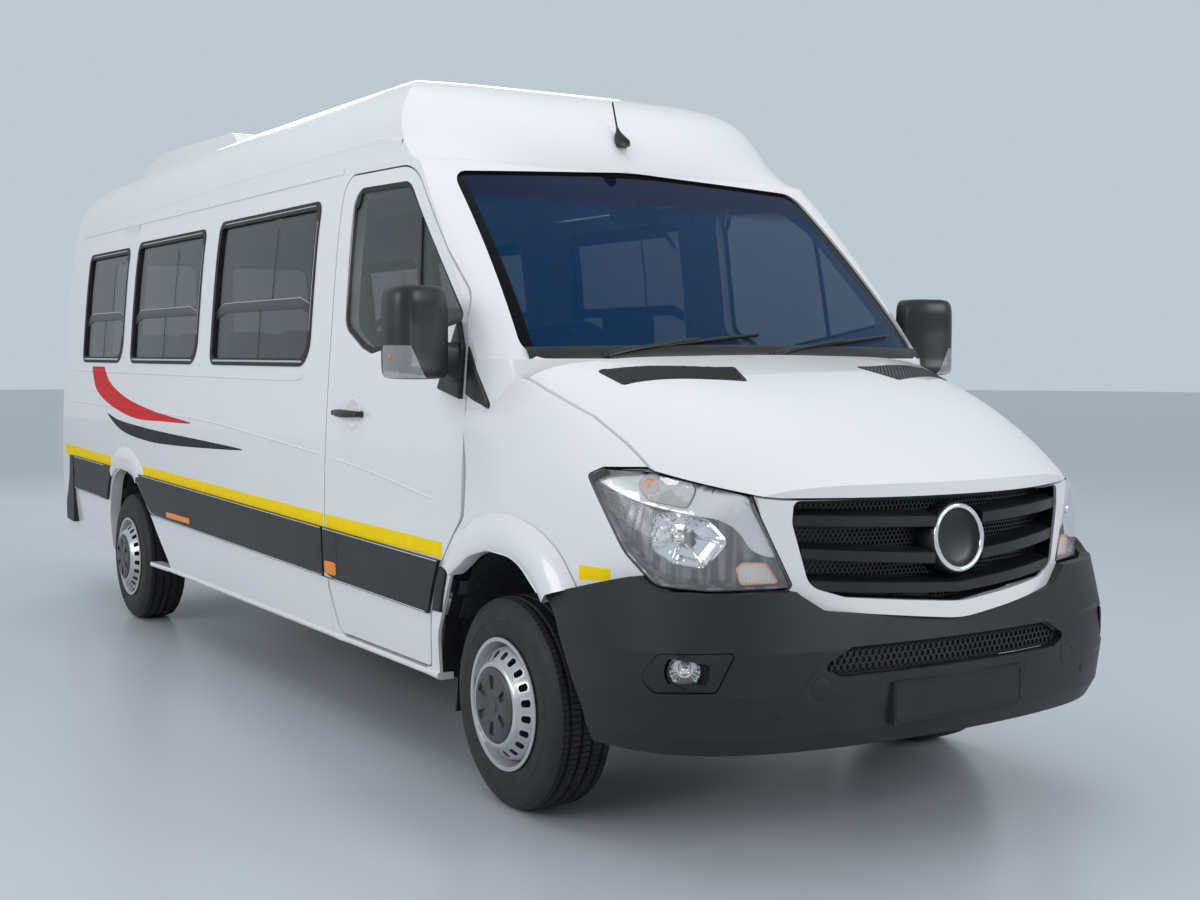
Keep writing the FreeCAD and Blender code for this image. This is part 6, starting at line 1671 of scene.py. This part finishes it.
details = []
for y0, y1, z0, z1, lift in ((-0.125, 0.125, 1.130, 1.350, 0.006), (0.330, 0.800, 1.150, 1.290, 0.004),
                             (-0.110, 0.110, 1.365, 1.445, 0.005), (0.560, 0.700, 1.370, 1.440, 0.005),
                             (-0.810, -0.690, 1.370, 1.440, 0.005)):
    steps = ((0.0, -0.002), (0.0, lift), (0.003, lift + 0.002), (0.0085, lift + 0.002),
             (0.0105, lift - 0.001))
    details.append(grid(rings(box_line(y0, y1, z0, z1, 0.012, 4), steps, on_dash), wrap=True, last=True,
                        toward=BACKWARD))
details += [turned([(0.0, 0.014), (0.012, 0.0135), (0.0150, 0.010), (0.0165, 0.0), (0.0, 0.0)],
                   on_dash(y, 1.235, 0.006), BACKWARD, 20) for y in (-0.080, -0.027, 0.027, 0.080)]
details += [block(on_dash(y, 1.372 + 0.0125 * k, 0.006), (0.010, 0.088, 0.0016), turn=0.5, axis="Y")
            for k in range(6) for y in (-0.055, 0.055)]
piece("dash_details", join(*details), seat_shell, "body", "cabin_plastic")
dials = []
for y, z, radius in ((-0.505, 1.500, 0.052), (-0.375, 1.500, 0.052), (-0.440, 1.545, 0.022)):
    spot = on_dash(y, z, 0.001)
    dials += [turned([(0.0, 0.0012), (radius * 0.96, 0.0012), (radius * 0.98, 0.004), (radius * 1.06, 0.005),
                      (radius * 1.08, 0.0), (0.0, -0.001)], spot, (-1, 0, 0.15), 40),
              block(spot + Vector((-0.0045, 0.30 * radius, -0.25 * radius)), (0.0012, radius * 0.85, 0.0018),
                    turn=math.radians(40), axis="X")]
piece("dials", join(*dials), finish("dial_face", (0.012, 0.012, 0.013), 0.25, 0.05, 0.02, Coat_Weight=1.0),
      "body",
      "cabin_plastic")

# The steering wheel has a padded rim with finger bumps on its back, four flattened spokes, a plain boss
# and a short column, all in one grained plastic.
WHEEL_CENTRE, WHEEL_AXIS = ahead(-0.560, -0.430, 1.470), Vector((-0.62, 0, 0.78)).normalized()
wheel_up = Vector((WHEEL_AXIS.z, 0, -WHEEL_AXIS.x)).normalized()
wheel_across = WHEEL_AXIS.cross(wheel_up)


def on_column(outline, steps, closed=False):
    return turned(outline, WHEEL_CENTRE, WHEEL_AXIS, steps, closed)


grip = on_column([(0.1850 + 0.0135 * math.cos(a), 0.0150 * math.sin(a)) for a in angles(16)], 96, True)
for vert in grip.verts:
    arm = vert.co - WHEEL_CENTRE
    if arm.dot(WHEEL_AXIS) < 0:
        turn = math.atan2(arm.dot(wheel_across), arm.dot(wheel_up))
        vert.co -= WHEEL_AXIS * 0.0012 * math.cos(turn * 24)
spokes = []
for turn in (math.radians(degrees) for degrees in (68, 112, 248, 292)):
    along = wheel_up * math.cos(turn) + wheel_across * math.sin(turn)
    aside = WHEEL_AXIS.cross(along)
    spokes.append(tube([[WHEEL_CENTRE + along * reach + WHEEL_AXIS * (sink + thick * s) + aside * wide * c
                         for c, s in (squared(a, 0.7) for a in angles(16))] for reach, wide, sink, thick in (
        (0.055, 0.030, -0.008, 0.011), (0.090, 0.021, -0.010, 0.009), (0.130, 0.016, -0.007, 0.008),
        (0.165, 0.017, -0.002, 0.008), (0.180, 0.022, 0.000, 0.008))]))
boss = on_column([(0.0, 0.010), (0.045, 0.008), (0.066, 0.000), (0.074, -0.012), (0.070, -0.030),
                  (0.050, -0.034),
                  (0.0, -0.034)], 48)
column = on_column([(0.0, -0.030), (0.0275, -0.030), (0.0275, -0.140), (0.0, -0.140)], 32)
piece("steering_rim", join(grip, boss, column, *spokes),
      finish("steering_grip", (0.022, 0.023, 0.025), 0.48, 0.1, 0.05, 0.00015, 0.0012), "steering_wheel",
      "cabin_plastic", 45, ["steering_wheel"])

# The mirror inside hangs on a short stem from the top of the windscreen: a shell with rounded corners
# round a flat glass.
mirror_line = box_line(-0.125, 0.125, -0.032, 0.032, 0.025)
mirror_body = tube([[ahead(-0.800 + depth, 0.085 + p.x * share, 2.030 + p.y * share) for p in mirror_line]
                    for share,
                    depth in ((0.98, -0.012), (1.0, -0.010), (1.0, 0.002), (0.94, 0.012), (0.75, 0.019),
                                         (0.40, 0.023))])
stem_foot, stem_top = ahead(-0.782, 0.080, 2.032), ahead(-0.752, 0.060, 2.112)
stem = turned([(0.0, 0.0), (0.006, 0.0), (0.006, 0.080), (0.011, 0.083), (0.0, 0.090)], stem_foot,
              stem_top - stem_foot, 14)
piece("inner_mirror", join(mirror_body, stem), bead_black, "body", "cabin_plastic", 40)
piece("inner_mirror_glass", sheet([(p.x * 0.94, p.y * 0.90) for p in mirror_line],
                                  lambda y, z: ahead(-0.8128, 0.085 + y, 2.030 + z), (1, 0, 0), None, 0,
                                  0.0010, 0.3),
      mirror_glass, "body", "lamp_glass", 30)

# The floor is covered in a grey sheet whose ribs run lengthwise, and the wheel housings under it wear a
# felted liner.
floor_cover, place, lay = principled("floor_covering", (0.085, 0.088, 0.095), 0.62, 0.2, 0.4, 0.0002, 0.003)
lay("Normal", (place.axis(1) * 420.0).math("SINE").bump(0.5, 0.0012))
paint_node(floor_cover, "floor")
paint_node(finish("arch_liner", (0.030, 0.030, 0.032), 0.80, 0.3, 0.02, 0.0008, 0.004), "wheel_arches")

# Chassis: rails, axle and arms under black chassis paint, dusted with road dirt; the knuckles show bare
# iron, the engine is grey cast iron, the tank is coated sheet and the exhaust is steel with brown heat
# marks.
chassis_paint, place, lay = principled("chassis_steel", (0.022, 0.023, 0.024), 0.48, 0.35, 0.15, 0.0002,
                                       0.004)
dust = place.noise(6.0, 8.0).step(0.52, 0.72)
lay("Base Color", (dust * 0.6).blend(colour_of(chassis_paint), (0.115, 0.100, 0.080, 1)))
lay("Roughness", dust * 0.4 + 0.45)
paint_node(chassis_paint, "chassis_rails", "front_suspension", "rear_axle")
paint_node(finish("knuckle_iron", (0.16, 0.155, 0.15), 0.55, 0.25, 0.03, 0.0004, 0.003, Metallic=0.8),
           "knuckle_right", "knuckle_left")
paint_node(finish("engine_iron", (0.20, 0.20, 0.205), 0.60, 0.25, 0.06, 0.0005, 0.004, Metallic=0.6),
           "engine")
paint_node(finish("tank_sheet", (0.028, 0.028, 0.030), 0.42, 0.2, 0.1), "fuel_tank")
exhaust_steel, place, lay = principled("exhaust_steel", (0.36, 0.33, 0.30), 0.45, 0.3, 0.08, Metallic=0.9)
heat = place.noise(5.0, 4.0).step(0.45, 0.70)
lay("Base Color", (heat * 0.5).blend(colour_of(exhaust_steel), (0.22, 0.10, 0.05, 1)))
paint_node(exhaust_steel, "exhaust")

# Under the bonnet the block wears a ribbed black cover with an oil cap, and a rubber hose in two steel
# clamps loops over its front edge.
cover_line = box_line(FRONT_AXLE_X - 0.150, FRONT_AXLE_X + 0.400, -0.215, 0.190, 0.05)
cover = grid(rings(cover_line, ((0.012, 1.079), (0.0, 1.084), (0.0, 1.106), (0.004, 1.115), (0.012, 1.120),
                                (0.030, 1.121)), lambda x, y, z: Vector((x, y, z))), wrap=True, last=True,
             toward=UP)
ribs = [block(ahead(0.100, -0.150 + 0.045 * k, 1.1225), (0.400, 0.012, 0.009), 0.003) for k in range(6)]
piece("engine_cover", join(cover, *ribs), charcoal, "body", "black_plastic")
piece("oil_cap",
      turned([(0.0, 0.0), (0.030, 0.0), (0.030, 0.014), (0.026, 0.020), (0.012, 0.020), (0.010, 0.026),
                         (0.0, 0.026)], ahead(0.320, 0.125, 1.1205), UP, 28), film_yellow, "body",
      "black_plastic")
hose_line = curve_through([ahead(x, 0.245, z) for x, z in (
    (0.360, 1.070), (0.378, 1.118), (0.450, 1.138), (0.545, 1.105), (0.572, 1.000), (0.556, 0.880),
    (0.512, 0.840))], 44)
hoses = []
for start, end, radius in ((0, 44, 0.0230), (2, 5, 0.0252), (39, 42, 0.0252)):
    rows = []
    for i in range(start, end):
        high = (hose_line[min(i + 1, 43)] - hose_line[max(i - 1, 0)]).normalized().cross(Vector((0, 1, 0)))
        rows.append([hose_line[i] + radius * (Vector((0, 1, 0)) * math.cos(a) + high * math.sin(a))
                     for a in angles(18)])
    hoses.append(tube(rows))
piece("coolant_hose", hoses[0], window_rubber, "body", "window_rubber", 50)
piece("hose_clamps", join(*hoses[1:]), satin_chrome, "body", "bare_steel", 30)

# The studio's floor is a plain pale disc with a soft shine, and no part of the vehicle.
bm = bmesh.new()
bmesh.ops.create_circle(bm, cap_ends=True, radius=60.0, segments=96)
mesh = bpy.data.meshes.new("studio_floor")
bm.to_mesh(mesh)
bm.free()
mesh.materials.append(finish("studio_floor", (0.50, 0.54, 0.58), 0.30, 0.02, 2.0))
studio_floor = bpy.data.objects.new("studio_floor", mesh)
scene.collection.objects.link(studio_floor)
